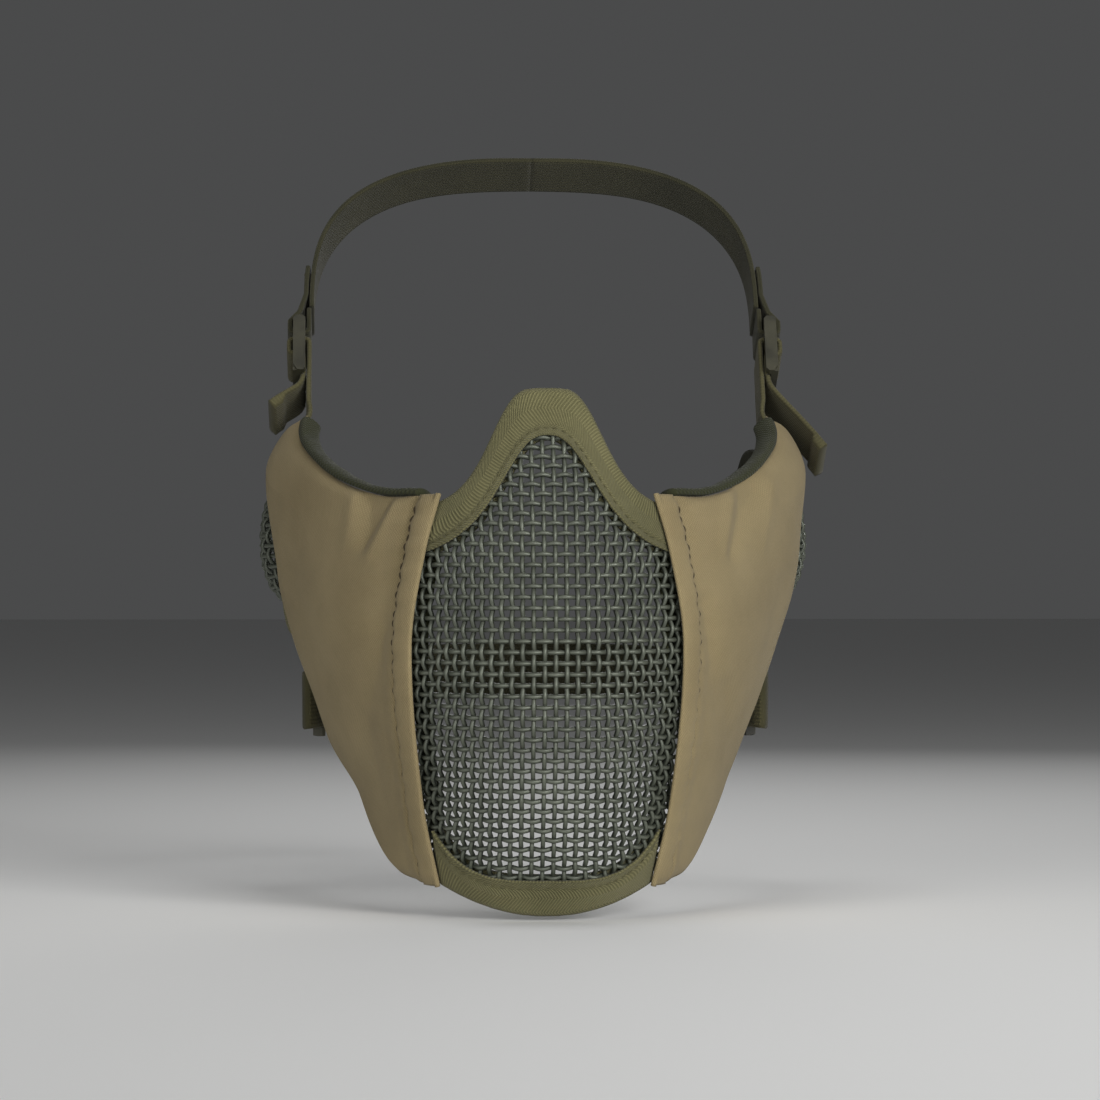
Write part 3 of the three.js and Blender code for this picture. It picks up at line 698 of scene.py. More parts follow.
def dress(made, slot, material=None):
    """Gives a piece its material: the one passed in, or else the cloth finish that its slot names."""
    made.data.materials.clear()
    made.data.materials.append(material or CLOTH[slot])
    return made


dress(face_mesh, "mesh_steel", WIRE)
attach(face_mesh, "front")
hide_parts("face_mesh")
print("finishes:", len(bpy.data.materials))

# %% [markdown]
# ## Sewn edges
#
# A binding is a tape folded lengthwise over the raw edge of the wire and sewn through near its inner
# edge. Its section is a hairpin: out along one side of the wire, a half circle round the edge, and back
# along the other side. The thread is real geometry, because a stitch dips into the cloth at both ends,
# and that dip is what the eye reads.

# %% A folded tape
TAPE_PLY, TAPE_OFFSET, STITCH_INSET = 1.1, 1.75, 2.3
TAPE_STEPS = np.array([0, 0.4, 1.2, 1.8, 2.3, 2.8, 3.6, 5.0])
TAPE_SEAM = TAPE_OFFSET + TAPE_PLY / 2 - 0.1


def hairpin(width):
    """The middle line of the folded tape as (distance from the outer edge, out, normal across, normal out).
    width is one number per station. It runs from the inner edge to the fold on the outside, then back on
    the inside."""
    width = np.asarray(width, float)[:, None]
    near = width - TAPE_STEPS
    straight = np.c_[near, mix(near[:, -1:], TAPE_OFFSET, np.array([0.25, 0.5, 0.75, 1.0]))]
    angle = np.linspace(0, np.pi, 9)[1:-1]
    arc = np.ones_like(width) * (TAPE_OFFSET * (1 - np.sin(angle)))
    distance = np.c_[straight, arc, straight[:, ::-1]]
    level_part = np.ones(straight.shape[1])
    across = np.r_[0 * level_part, -np.sin(angle), 0 * level_part]
    away = np.r_[level_part, np.cos(angle), -level_part]
    return distance, TAPE_OFFSET * away, across, away


def tape_section(width, run):
    """The closed section round the hairpin: half a ply to each side, thinner at the raw ends and at the
    stitches, with soft puckers that the thread pulls in."""
    distance, out, across, away = hairpin(width)
    from_end = width[:, None] - distance
    dip = 0.3 * np.exp(-(((from_end - STITCH_INSET) / 0.5) ** 2)) - 0.45 * (from_end < 0.1)
    pucker = 0.16 * np.sin(2 * np.pi * run[:, None] / 6.5 + np.sin(run[:, None] / 9)) * np.exp(-from_end / 5)
    half = TAPE_PLY / 2
    outer = half * (1 - dip) + pucker * (away > 0.5)
    a = np.c_[distance + across * outer, (distance - across * half)[:, ::-1]]
    b = np.c_[out + away * outer, np.broadcast_to((out - away * half)[::-1], outer.shape)]
    return a, b


def binding_tape(name, outer, inner, place):
    """outer and inner are the tape's two edges, (n, 2) points on a surface; place(points, out) puts them in
    space."""
    width = np.linalg.norm(inner - outer, axis=1)
    run = walked((outer + inner) / 2)
    a, b = tape_section(width, run)
    share = (a / width[:, None])[..., None]
    rings = place(outer[:, None] + (inner - outer)[:, None] * share, b)
    m = a.shape[1] // 2
    across = np.linspace(0, 2 * width.mean(), m)
    made = swept(name, rings, run, np.r_[across, across[::-1]])
    line = outer + (inner - outer) * (1 - STITCH_INSET / width)[:, None]
    seam, above = (place(line[:, None], np.full((len(line), 1), height))[:, 0]
                   for height in (TAPE_SEAM, TAPE_OFFSET + TAPE_PLY / 2 + 1))
    return made, seam, above - seam


def stitches(name, seam, normal, pitch=2.9, length=0.66, radius=0.24):
    """A row of lockstitches along a seam: each is a short thread that rises out of the cloth and dips back
    in."""
    normal, run = unit(normal), walked(seam)
    starts = np.arange(0.2 * pitch, run[-1] - pitch, pitch)
    at = starts[:, None] + np.linspace(0, length * pitch, 6)
    lift = np.array([-0.25, 0.08, 0.2, 0.2, 0.08, -0.25])
    path, facing = (np.stack([np.interp(at, run, part[:, k]) for k in range(3)], -1)
                    for part in (seam, normal))
    path = path + facing * lift[:, None]
    return wire_mesh(name, [(path[i], facing[i]) for i in range(len(starts))], radius)


def on_shell_front(points, out):
    return front_point(points[..., 0], points[..., 1], out)


print("stitch inset: %.1f mm" % STITCH_INSET)

# %% The nose arch and the chin
def edge_line(x, z):
    return np.stack([x, z], -1)


stations = np.linspace(-SEAM_TOP, SEAM_TOP, 161) * 1.06
inner_x = nose_inner_x(stations)
nose = binding_tape("nose_tape", edge_line(stations, nose_outer(stations)),
                    edge_line(inner_x, nose_inner(inner_x)), on_shell_front)

stations = np.linspace(-SEAM_BOTTOM, SEAM_BOTTOM, 121) * 1.04
chin = binding_tape("chin_tape", edge_line(stations, chin_outer(stations)),
                    edge_line(stations * 1.08, chin_inner(stations * 1.08)), on_shell_front)

for tape, node in ((nose[0], "nose_binding"), (chin[0], "chin_binding")):
    dress(tape, "edge_tape")
    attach(tape, "front")
    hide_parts(node)
for name, (_, seam, up) in (("nose_stitches", nose), ("chin_stitches", chin)):
    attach(dress(stitches(name, seam, up), "edge_tape", OLIVE_THREAD), "front")
print("nose tape:", len(nose[0].data.polygons), "faces")

# %% [markdown]
# ## The cheek panels
#
# Each panel is one piece of tan cloth. Its front edge turns under to make the hem, which is sewn through
# the wire, and the rest covers the foam. The sheet is a grid: one direction runs from the turned-under
# edge, round the roll of the hem, over the stitching and back to the ear, and the other runs up the
# panel. Its height over the shell is a sum of simple terms: the puff of the hem, the dip of the
# stitching, the soft crown of the padding, and the dents and puckers that sewing on a curve leaves.
# Solidify then gives the cloth its thickness.

# %% How high the cloth stands
CLOTH_THICK = 0.75
HEM_TOP, HEM_LOW, HEM_STITCH = 4.5, 2.9, 9.9
HEM_SKIN, COVER_SKIN, LEAST_SKIN = 3.45, 2.6, 0.9
PANEL_LENGTH, PANEL_HEIGHT = 95, 108


def groove(x, z, start, end, widths, depth):
    """A dent along a line: depth exp(-(distance / width)^1.6), and the width changes from one end to the
    other."""
    start, end = np.array(start, float), np.array(end, float)
    line = end - start
    t = np.clip(((x - start[0]) * line[0] + (z - start[1]) * line[1]) / (line @ line), 0, 1)
    distance = np.hypot(x - start[0] - t * line[0], z - start[1] - t * line[1])
    return -depth * (1 - 0.6 * t) * np.exp(-((distance / mix(widths[0], widths[1], t)) ** 1.6))


# For each side: where a dent starts and ends, its width at both ends, and its depth.
DENTS = {
    1: [((66, 14), (59, -7), (4.6, 1.8), 3.4), ((59, 13), (56, -6), (2.6, 2.0), -1.4),
        ((74, 16), (70, -5), (3.0, 2.5), -1.4), ((42, 10), (50, -34), (2.4, 3.6), 1.6),
        ((49, -22), (56, -70), (2.4, 4.0), 1.3), ((57, -50), (62, -92), (3.6, 6.0), 1.4),
        ((80, -16), (72, -48), (6.0, 4.0), 1.4)],
    -1: [((51.5, 14), (57, -4), (5.0, 1.6), 4.2), ((39.5, 11), (49, -27), (2.6, 4.4), 3.2),
         ((45.5, 14), (55, -8), (2.4, 2.0), -1.9), ((59, 15), (62, -4), (2.4, 2.0), -1.2),
         ((51, -30), (59, -85), (3.0, 5.0), 1.5), ((82, -10), (70, -44), (6.0, 4.0), 1.4),
         ((56, -62), (47, -100), (4.0, 3.0), 1.3)],
}


def wrinkles(x, z, side):
    """The dents of one panel, on a slow unevenness of 0.55 mm. x is how far out, whichever side it is
    on."""
    slow = 0.55 * np.sin(x / 6.1 + z / 13 + side) * np.sin(z / 17 - x / 21)
    return sum(groove(x, z, *dent) for dent in DENTS[side]) + slow


def puckers(x, z, side, distance):
    """Ripples that run out from the stitching and fade: sin(2 pi z / 7.3) exp(-distance / 5)."""
    ripple = np.sin(2 * np.pi * z / 7.3 + 0.9 * np.sin(z / 11 + side))
    ripple = ripple + 0.5 * np.sin(2 * np.pi * z / 4.1 + x / 5)
    return 0.45 * ripple * np.exp(-np.abs(distance) / 5.0)


print("cloth: %.2f mm thick" % CLOTH_THICK)

# %% The sheet of a panel
ROLL, ROLL_MIDDLE, CUT_HEIGHT = (HEM_TOP - HEM_LOW) / 2, 7.5, 112


def hem_profile():
    """Distance behind the front edge, and height of the skin: under the hem, round its roll, and over
    it."""
    under = np.array([8.4, 6.6, 4.8, 3.2, 1.8])
    angle = np.radians([-90, -60, -30, 0, 30, 60, 90])
    over = np.array([1.3, 1.9, 2.7, 3.6, 4.6, 5.6, 6.6, 7.5, 8.3, 8.9, 9.4, 9.9, 10.4, 10.8])
    distance = np.r_[under, ROLL * (1 - np.cos(angle)), over]
    puff = 0.45 * np.sin(np.pi * np.clip((over - 0.6) / 8.8, 0, 1)) ** 0.8
    dip = 0.5 * np.exp(-(((over - HEM_STITCH) / 0.55) ** 2))
    settle = mix(HEM_TOP, HEM_SKIN, smooth(7.4, 10.4, over)) - dip
    height = np.r_[np.full(len(under), HEM_LOW), HEM_LOW + ROLL * (1 + np.sin(angle)), settle + puff]
    return distance, height


def panel_grid(rows=130, columns=104):
    """up and along for each point of the sheet, with its distance behind the front edge and its plain
    height."""
    distance, height = hem_profile()
    along = np.linspace(0, 1, columns) ** 1.05
    up = np.linspace(0, 1, rows)
    z_hem = mix(cheek_bottom(0), cheek_top(0), up)[:, None]
    z_panel = mix(cheek_bottom(along)[None], cheek_top(along)[None], up[:, None])
    z = np.c_[np.repeat(z_hem, len(distance), 1), z_panel]
    depth = np.c_[behind_seam(z_hem, distance[None]), cheek_depth(along[None], z_panel, up[:, None])]
    skin = np.r_[height, mix(HEM_SKIN, COVER_SKIN, smooth(0, 0.08, along))]
    face = np.sign(np.arange(len(distance)) - ROLL_MIDDLE)
    run = np.r_[distance * face, HEM + FOLD + along * PANEL_LENGTH]
    return up, np.r_[np.zeros(len(distance)), along], z, depth, skin, run


def panel_points(side):
    """The sheet on the shell: its plain height, a crown over the foam, rounded edges, dents and puckers."""
    up, along, z, depth, skin, run = panel_grid()
    x = side_at(depth, z)
    crown = np.sin(np.pi * np.clip(along, 0, 1)) ** 0.6 * np.sin(np.pi * up[:, None]) ** 0.35
    edge = np.minimum(up, 1 - up)[:, None] * PANEL_HEIGHT
    rear = (1 - along) * PANEL_LENGTH
    roll_off = 1.1 * (1 - smooth(0, 3.0, edge)) + 1.1 * (1 - smooth(0, 3.5, rear))
    loose = smooth(-1.0, 2.5, edge) * np.where(run > HEM_STITCH, 1.0, 0.25) * smooth(0, 6.0, rear)
    unsewn = smooth(0, 3.0, np.abs(np.clip(run, 0, None) - HEM_STITCH) + 1.0)
    wave = wrinkles(x, z, side) * loose * unsewn
    top = np.where(run > 0, 1.0, 0.0)
    out = skin + top * (1.5 * crown * (along > 0) - roll_off * (run > 1.5) + wave)
    out = out + top * puckers(x, z, side, run - HEM_STITCH) * smooth(0, 5, edge)
    return mirrored(side_point(depth, z, np.maximum(out, LEAST_SKIN)), side), run, up


def gentle(points):
    """Keeps neighbouring rows in order by a light blur up the panel."""
    blurred = points.copy()
    blurred[1:-1] = (points[:-2] + 2 * points[1:-1] + points[2:]) / 4
    return blurred


def cheek_cloth(name, side):
    points, run, up = panel_points(side)
    uv = grid_uv(up * CUT_HEIGHT, walked(points[len(up) // 2]))[..., ::-1]
    if side < 0:
        points, uv = points[::-1], uv[::-1]
    return cloth_sheet(name, gentle(points), uv, CLOTH_THICK)


def sheet_area(points):
    """The area of a grid of points, which is the size that the cloth was cut to."""
    a = np.cross(points[1:, :-1] - points[:-1, :-1], points[:-1, 1:] - points[:-1, :-1])
    return np.linalg.norm(a, axis=-1).sum()


PANEL_AREA = sheet_area(panel_points(1)[0]) * MM**2
for name, side in SIDES:
    cloth = dress(cheek_cloth("cheek_cloth_" + name, side), "mask_fabric")
    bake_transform(cloth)
    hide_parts("cheek_cover_" + name, "hem_" + name)
print("panel: %.0f cm2 of cloth" % (PANEL_AREA * 1e4))

# %% [markdown]
# ## Foam pads and lining
#
# Behind the tan cloth is a foam pad in a dark lining. A pad is a closed pillow: its thickness falls to
# nothing at its rim along a quarter circle. Cloth simulation then lets it swell a little, as foam does
# inside a sewn cover, which gives the uneven fullness that a formula leaves out. The left pad is
# simulated and the right one is its mirror, with its faces turned round again.

# %% Pillow shapes and swelling
def pillow(name, place, rows, columns, low, high, rim, size):
    """A closed pad from out = low to out = high. place(u, v, out) puts the unit square on the shell. The
    two faces meet at the rim: half thickness is sqrt(1 - (1 - d / rim)^2), with d the distance from the
    rim."""
    u, v = np.meshgrid(np.linspace(0, 1, columns), np.linspace(0, 1, rows))
    inside = np.minimum(np.minimum(u, 1 - u) * size[0], np.minimum(v, 1 - v) * size[1])
    full = np.sqrt(1 - (1 - np.clip(inside / rim, 0, 1)) ** 2)
    middle, half = (low + high) / 2, (high - low) / 2
    faces = [place(u, v, middle + sign * half * full) for sign in (1, -1)]
    quads, (i, j) = grid_quads(rows, columns)
    uv = np.stack([u * size[0], v * size[1]], -1)
    corner = cell_uv(uv, i, j)
    points = np.concatenate([face.reshape(-1, 3) for face in faces])
    both = np.concatenate([quads, quads[:, ::-1] + rows * columns])
    made = make_mesh(name, points, both, np.concatenate([corner, corner[::-1]]))
    weld(made)
    return outwards(made)


def weld(made, distance=1e-5):
    """Merges points that lie on each other, such as the two faces of a pillow at its rim."""
    shape = bmesh.new()
    shape.from_mesh(made.data)
    bmesh.ops.remove_doubles(shape, verts=shape.verts, dist=distance)
    shape.to_mesh(made.data)
    shape.free()


def swell(made, voxel, cap, frames=20, pressure=4.0):
    """Remeshes a pad, lets Blender's cloth swell it under pressure, and caps how far each point may
    move."""
    remesh = made.modifiers.new("even mesh", "REMESH")
    remesh.mode = "VOXEL"
    remesh.voxel_size = voxel * MM
    apply_modifiers(made)
    before = read_points(made.data)
    cloth = made.modifiers.new("cloth", "CLOTH")
    cloth.settings.use_pressure = True
    cloth.settings.uniform_pressure_force = pressure
    cloth.settings.effector_weights.gravity = 0
    cloth.point_cache.frame_end = frames
    scene = bpy.context.scene
    for frame_number in range(1, frames + 1):
        scene.frame_set(frame_number)
    apply_modifiers(made)
    scene.frame_set(1)
    move = read_points(made.data) - before
    size = np.linalg.norm(move, axis=1, keepdims=True)
    move *= np.minimum(1, cap * MM / np.maximum(size, 1e-9))
    made.data.vertices.foreach_set("co", (before + move).ravel())
    made.data.polygons.foreach_set("use_smooth", [True] * len(made.data.polygons))
    made.data.update()


def mirror_of(made, name):
    """A copy on the other side, with its faces turned so that they still point outwards."""
    copy = add_object(name, made.data.copy())
    copy.data.vertices.foreach_set("co", (read_points(copy.data) * [-1, 1, 1]).ravel())
    copy.data.flip_normals()
    copy.data.update()
    return copy


print("pads: ready")

# %% The cheek pads
PAD_REACH, PAD_INSET, PAD_GAP, PAD_HIGH, PAD_LOW = 0.71, 3.3, 0.6, -0.1, -3.9


def pad_place(u, v, out):
    along = u * PAD_REACH
    z = mix(cheek_bottom(along) + PAD_INSET, cheek_top(along) - PAD_INSET, v)
    return side_point(cheek_depth(along, z, v, HEM + FOLD + PAD_GAP), z, out)


pad = pillow("cheek_foam_left", pad_place, 46, 36, PAD_LOW, PAD_HIGH, 4.0, (66, 108))
swell(pad, 3.2, 0.9)
smoother = pad.modifiers.new("finer", "SUBSURF")
smoother.levels = smoother.render_levels = 1
apply_modifiers(pad)
pads = {"left": pad, "right": mirror_of(pad, "cheek_foam_right")}
for name, side in SIDES:
    dress(pads[name], "lining")
    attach(pads[name], "cheek_" + name)
    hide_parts("cheek_pad_" + name)
print("cheek pad:", len(pad.data.polygons), "faces")

# %% Lining behind the hem, and the tape on the top edge
def rounded_strip(width, thickness, points):
    """The closed section of a flat strip with rounded edges: across and out, out along one face and
    back."""
    turn = np.linspace(-1, 1, points)
    across = width / 2 * np.sign(turn) * (1 - (1 - np.abs(turn)) ** 1.5)
    from_edge = np.clip((width / 2 - np.abs(across)) / (thickness * 0.6), 0, 1)
    half = thickness / 2 * np.sqrt(1 - (1 - from_edge) ** 2) + thickness * 0.08
    return np.r_[across, across[::-1]], np.r_[-half, half[::-1]]


def hem_backing(name, side):
    """The strip of lining behind the hem, with a slight ripple where the stitches draw it in."""
    z = mix(cheek_bottom(0), cheek_top(0), np.linspace(0.004, 0.996, 90))[:, None]
    across, out = rounded_strip(HEM, 1.0, 11)
    depth = behind_seam(z, across[None] + HEM / 2)
    height = out[None] - HEM_LOW - 0.6 + 0.12 * np.sin(z / 1.3)
    return swept(name, mirrored(side_point(depth, z, height), side), np.abs(z - z[0])[:, 0], across)


def top_tape(name, side):
    """A tape folded over the pad and the cloth: a rounded strip on edge, with a slight wander along its
    length."""
    along = np.linspace(0.002, 0.93, 180)
    z_edge = cheek_top(along)
    middle, half = (COVER_SKIN - 4.6) / 2, (COVER_SKIN + 5.2) / 2
    turn = np.linspace(0, np.pi, 12)
    flat = np.linspace(-1, 1, 7)
    out = np.r_[middle + half * np.cos(turn), middle + half * flat]
    rise = np.r_[2.5 * np.sin(turn) ** 0.45, np.full(7, -0.15)]
    out, rise = out[:-1], rise[:-1]
    run = along * PANEL_LENGTH
    wander = (0.25 * np.sin(run / 5.3) + 0.15 * np.sin(run / 2.1))[:, None]
    z = z_edge[:, None] + 0.35 + rise[None] * (1 + 0.2 * wander)
    depth = cheek_depth(along, z_edge, 1.0)[:, None]
    rings = mirrored(side_point(depth, z, out[None] + 0.3 * wander), side)
    return swept(name, rings, run, np.linspace(0, 18, len(out)))


for name, side in SIDES:
    backing = dress(hem_backing("hem_backing_" + name, side), "lining")
    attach(backing, "front")
    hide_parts("hem_lining_" + name)
    tape = dress(top_tape("top_tape_" + name, side), "lining")
    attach(tape, "cheek_" + name)
    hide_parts("top_binding_" + name)
print("lining strips and top tapes done")

# %% Stitching on the hems
STITCH_LIFT = 0.05


def hem_seam(side):
    """The line of stitching, and the way out of the cloth, taken from the finished sheet's own height."""
    points, run, up = panel_points(side)
    at = np.argmin(np.abs(run[8:30] - HEM_STITCH)) + 8
    seam = gentle(points)[2:-2, at]
    z = seam[:, 2]
    out = normal_of(on_side, -behind_seam(z, HEM_STITCH), z)
    return seam, mirrored(out, side)


for name, side in SIDES:
    seam, out = hem_seam(side)
    row = stitches("hem_stitches_" + name, seam + out * STITCH_LIFT, out, pitch=3.2, radius=0.34)
    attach(dress(row, "mask_fabric", TAN_THREAD), "front")
print("hem stitches:", len(row.data.polygons), "faces")

# %% [markdown]
# ## The ear covers
#
# Each ear cover is a pressed dome of the same woven wire, bound with tape, with a foam ring against the
# head. It has its own frame: X out from the head, Y back from the hinge line, and Z up. The dome's height
# depends only on how far a point is from the rim, as a share of the way to the middle.

# %% The ear cover's own frame
EAR_BACK = EAR_LENGTH / 2 + 0.6
EAR_RIM, EAR_FLAT, EAR_DOME, EAR_POWER = 2.0, 9.0, 11.4, 0.32
EAR_LEAN = np.radians(8)
EAR_X = side_at(-EAR_HINGE_Y, EAR_Z) - 1.5
EAR_REACH = EAR_LENGTH / 2
EAR_TAPE, EAR_RADIUS, EAR_COVERED = 8.0, 31, 0.985


def ear_place(points, side):
    """Turns the ear cover's own frame by its lean and carries it to the hinge line."""
    x, y, z = np.moveaxis(points, -1, 0)
    placed = np.stack([
        EAR_X + x * np.cos(EAR_LEAN) - y * np.sin(EAR_LEAN),
        EAR_HINGE_Y + x * np.sin(EAR_LEAN) + y * np.cos(EAR_LEAN),
        EAR_Z + z], -1)
    return mirrored(placed, side)


def dome(y, z):
    """The height of the dome: EAR_DOME (1 - (1 - s)^2)^EAR_POWER, with s rising smoothly from the rim to
    the middle."""
    share = np.hypot((y - EAR_BACK) / (EAR_LENGTH / 2 - EAR_RIM), z / (EAR_HEIGHT / 2 - EAR_RIM))
    inset = EAR_REACH - share * (EAR_REACH - EAR_RIM)
    return EAR_DOME * (1 - (1 - smooth(EAR_FLAT, EAR_REACH, inset)) ** 2) ** EAR_POWER, share


def ear_ring(angle, inset, out):
    """A point round the cover: an ellipse drawn in by inset, at a height out."""
    y = EAR_BACK + (EAR_LENGTH / 2 - inset) * np.cos(angle)
    z = (EAR_HEIGHT / 2 - inset) * np.sin(angle)
    return np.stack(np.broadcast_arrays(out, y, z), -1)


print("ear cover: %.0f x %.0f mm, %.1f mm deep" % (EAR_LENGTH, EAR_HEIGHT, EAR_DOME))


# %% The woven dome
def dome_wires(side):
    """The upright wires of the dome (way 0) and then the level ones (way 1), as far as the tape covers
    them."""
    wires = []
    count = int(EAR_HEIGHT / 2 / WIRE_PITCH) + 1
    fine = np.arange(-count, count + 0.01, 1 / STEPS_PER_PITCH)
    for way in (0, 1):
        for number in np.arange(-count, count + 1) + 0.5 * way:
            along = fine * WIRE_PITCH
            fixed = np.full_like(along, number * WIRE_PITCH)
            y, z = (EAR_BACK + fixed, along) if way == 0 else (EAR_BACK + along, fixed)
            height, share = dome(y, z)
            first, last = longest_run(share < EAR_COVERED)
            if last - first <= FEWEST_STEPS:
                continue
            keep = slice(first, last)
            slope_y = (dome(y + 0.1, z)[0] - dome(y - 0.1, z)[0]) / 0.2
            slope_z = (dome(y, z + 0.1)[0] - dome(y, z - 0.1)[0]) / 0.2
            normal = unit(np.stack([np.ones_like(y), -slope_y, -slope_z], -1))
            wave = WEAVE_RISE * np.cos(np.pi * (fine - 0.5 * (1 - way) + np.floor(number))) * (1 - 2 * way)
            path = np.stack([height, y, z], -1) + normal * wave[:, None]
            turned = ear_place(path + normal, side) - ear_place(path, side)
            wires.append((ear_place(path, side)[keep], turned[keep]))
    return wires


for name, side in SIDES:
    woven_ear = dress(wire_mesh("ear_wire_" + name, dome_wires(side), WIRE_RADIUS), "mesh_steel", WIRE)
    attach(woven_ear, "ear_" + name)
    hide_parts("ear_mesh_" + name)
print("ear mesh:", len(woven_ear.data.polygons), "faces")


# %% The ear cover's tape, foam ring and cloth hinge
def ear_tape(name, side):
    """The same hairpin of tape, carried round the ellipse."""
    angle = np.linspace(0, 2 * np.pi, 181)[:-1]
    run = EAR_RADIUS * angle
    a, b = tape_section(np.full(len(angle), EAR_TAPE), run)
    rings = ear_place(ear_ring(angle[:, None], a, b), side)
    across = np.linspace(0, 2 * EAR_TAPE, a.shape[1] // 2)
    return swept(name, rings, run, np.r_[across, across[::-1]], loop=True)


def ear_seam(side):
    """The line of stitching round the tape, and the way out of it."""
    angle = np.linspace(0, 2 * np.pi, 241)
    seam, above = (ear_place(ear_ring(angle, EAR_TAPE - STITCH_INSET, height), side)
                   for height in (TAPE_SEAM, TAPE_SEAM + 1))
    return seam, above - seam


def squared(wave, power):
    """A sine or cosine drawn towards a square wave: sign(wave) |wave|^power."""
    return np.sign(wave) * np.abs(wave) ** power


def ear_foam(name, side):
    """A soft ring of foam: a rounded section, a little fuller and leaner by turns."""
    angle = np.linspace(0, 2 * np.pi, 145)[:-1]
    around = np.linspace(0, 2 * np.pi, 21)[:-1] + np.pi
    full = 1 + 0.03 * np.sin(5 * angle)[:, None] + 0.02 * np.sin(11 * angle)[:, None]
    inset = 4.0 + 2.95 * squared(np.cos(around), 0.6) * full
    out = -5.2 + 2.2 * squared(np.sin(around), 0.6) * full
    rings = ear_place(ear_ring(angle[:, None], inset, out), side)
    return swept(name, rings, EAR_RADIUS * angle, np.linspace(0, 17, len(around)), loop=True)


def ear_hinge(name, side):
    """The strip of tape that the cover swings on, sewn under the panel and to the rim."""
    z = np.linspace(EAR_Z - 15, EAR_Z + 15, 40)[:, None]
    across, out = rounded_strip(9.2, 0.8, 11)
    depth = -EAR_HINGE_Y + 4.4 + across[None]
    rings = side_point(depth, z, out[None] - 0.25 + 0.08 * np.sin(z / 1.7))
    return swept(name, mirrored(rings, side), (z - z[0])[:, 0], across)


for name, side in SIDES:
    rim = dress(ear_tape("ear_tape_" + name, side), "edge_tape")
    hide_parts("ear_rim_" + name)
    ring = dress(ear_foam("ear_foam_" + name, side), "foam")
    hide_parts("ear_seal_" + name)
    row = dress(stitches("ear_stitches_" + name, *ear_seam(side)), "edge_tape", OLIVE_THREAD)
    for piece in (rim, ring, row):
        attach(piece, "ear_" + name)
    strip = dress(ear_hinge("hinge_strip_" + name, side), "edge_tape")
    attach(strip, "cheek_" + name)
    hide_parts("ear_hinge_" + name)
print("ear covers done")

# %% The nose foam
NOSE_FOAM = 21.0


def nose_foam():
    """A soft bar of foam under the nose arch, with a rounded section that thins towards its ends."""
    x = np.linspace(-NOSE_FOAM, NOSE_FOAM, 90)
    inner = nose_inner_x(x)
    step = unit(np.stack([inner - x, nose_inner(inner) - nose_outer(x)], -1))
    turn = np.linspace(0, 2 * np.pi, 25)[:-1] + np.pi
    taper = (1 - (np.abs(x) / (NOSE_FOAM + 0.8)) ** 6)[:, None]
    across = 6.5 + 4.6 * squared(np.cos(turn), 0.6) * taper
    out = -5.4 + 2.0 * squared(np.sin(turn), 0.7) * taper
    place_x = x[:, None] + step[:, :1] * across
    place_z = nose_outer(x)[:, None] + step[:, 1:] * across
    return swept("nose_foam", front_point(place_x, place_z, out), x - x[0], np.linspace(0, 20, len(turn)))


foam = dress(nose_foam(), "foam")
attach(foam, "front")
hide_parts("nose_pad")
print("nose foam:", len(foam.data.polygons), "faces")

# %% [markdown]
# ## Straps and ladder locks
#
# Webbing is flat and stiff, so each strip is a rounded rectangle carried along a path and isn't
# simulated. A strap lies in a plane that holds the X direction. In that plane x is out from the head and
# length runs up the strap.

# %% The straps' planes
WEBBING, WEB_THICK, ELASTIC = 20.0, 1.5, 1.4
LOCK_LENGTH, LOCK_DEPTH, LOCK_BAR, STANDOFF = 22.0, 4.2, 3.0, 0.5
STRAPS = {
    "crown": {"tilt": CROWN_TILT, "side": 77.8, "half": 77, "rise": 61, "power": 2.75, "lock_at": 30,
              "y": HORN_Y + 12.5 * np.cos(CROWN_TILT), "z": REAR_TOP - 12.5 * np.sin(CROWN_TILT) - 0.5},
    "nape": {"tilt": np.radians(85), "side": 71, "half": 70, "rise": 52, "power": 2.3, "lock_at": 23,
             "y": EAR_HINGE_Y, "z": REAR_BOTTOM + WEBBING / 2 + 1},
}
TAILS = {("left", "crown"): (32, 33), ("right", "crown"): (15, 48), ("left", "nape"): (10, 42),
         ("right", "nape"): (10, 42)}
LOCK_INNER = WEB_THICK / 2 + STANDOFF
LOCK_OUTER = LOCK_INNER + LOCK_DEPTH
ARCH_START = LOCK_LENGTH / 2 + 6


def strap_place(strap, x, across, length):
    """A point of a strap's plane in space: x out, across the strip, and length up the strap."""
    tilt = strap["tilt"]
    x, across, length = np.broadcast_arrays(x, across, length)
    return np.stack([
        x,
        strap["y"] + across * np.cos(tilt) + length * np.sin(tilt),
        strap["z"] - across * np.sin(tilt) + length * np.cos(tilt)], -1)


def low_end(strap):
    return strap["lock_at"] - LOCK_LENGTH / 2


def bend(x, length, radius, start, end):
    """An arc about (x, length), from one angle to another in degrees."""
    angle = np.radians(np.linspace(start, end, 10))
    return np.c_[x + radius * np.cos(angle), length + radius * np.sin(angle)]


def even(path, step):
    """The same path with points a fixed step apart."""
    run = walked(path)
    at = np.linspace(0, run[-1], max(int(run[-1] / step), 3) + 1)
    return np.stack([np.interp(at, run, path[:, k]) for k in range(2)], -1), at


def off_path(strap, path, which, across, height):
    """Points that stand off a path of (x, length) pairs along its normal, at the stations that which
    picks."""
    way = unit(np.gradient(path, axis=0))[which]
    x, length = path[which][..., :1], path[which][..., 1:]
    return strap_place(strap, x + way[..., 1:] * height, across, length - way[..., :1] * height)


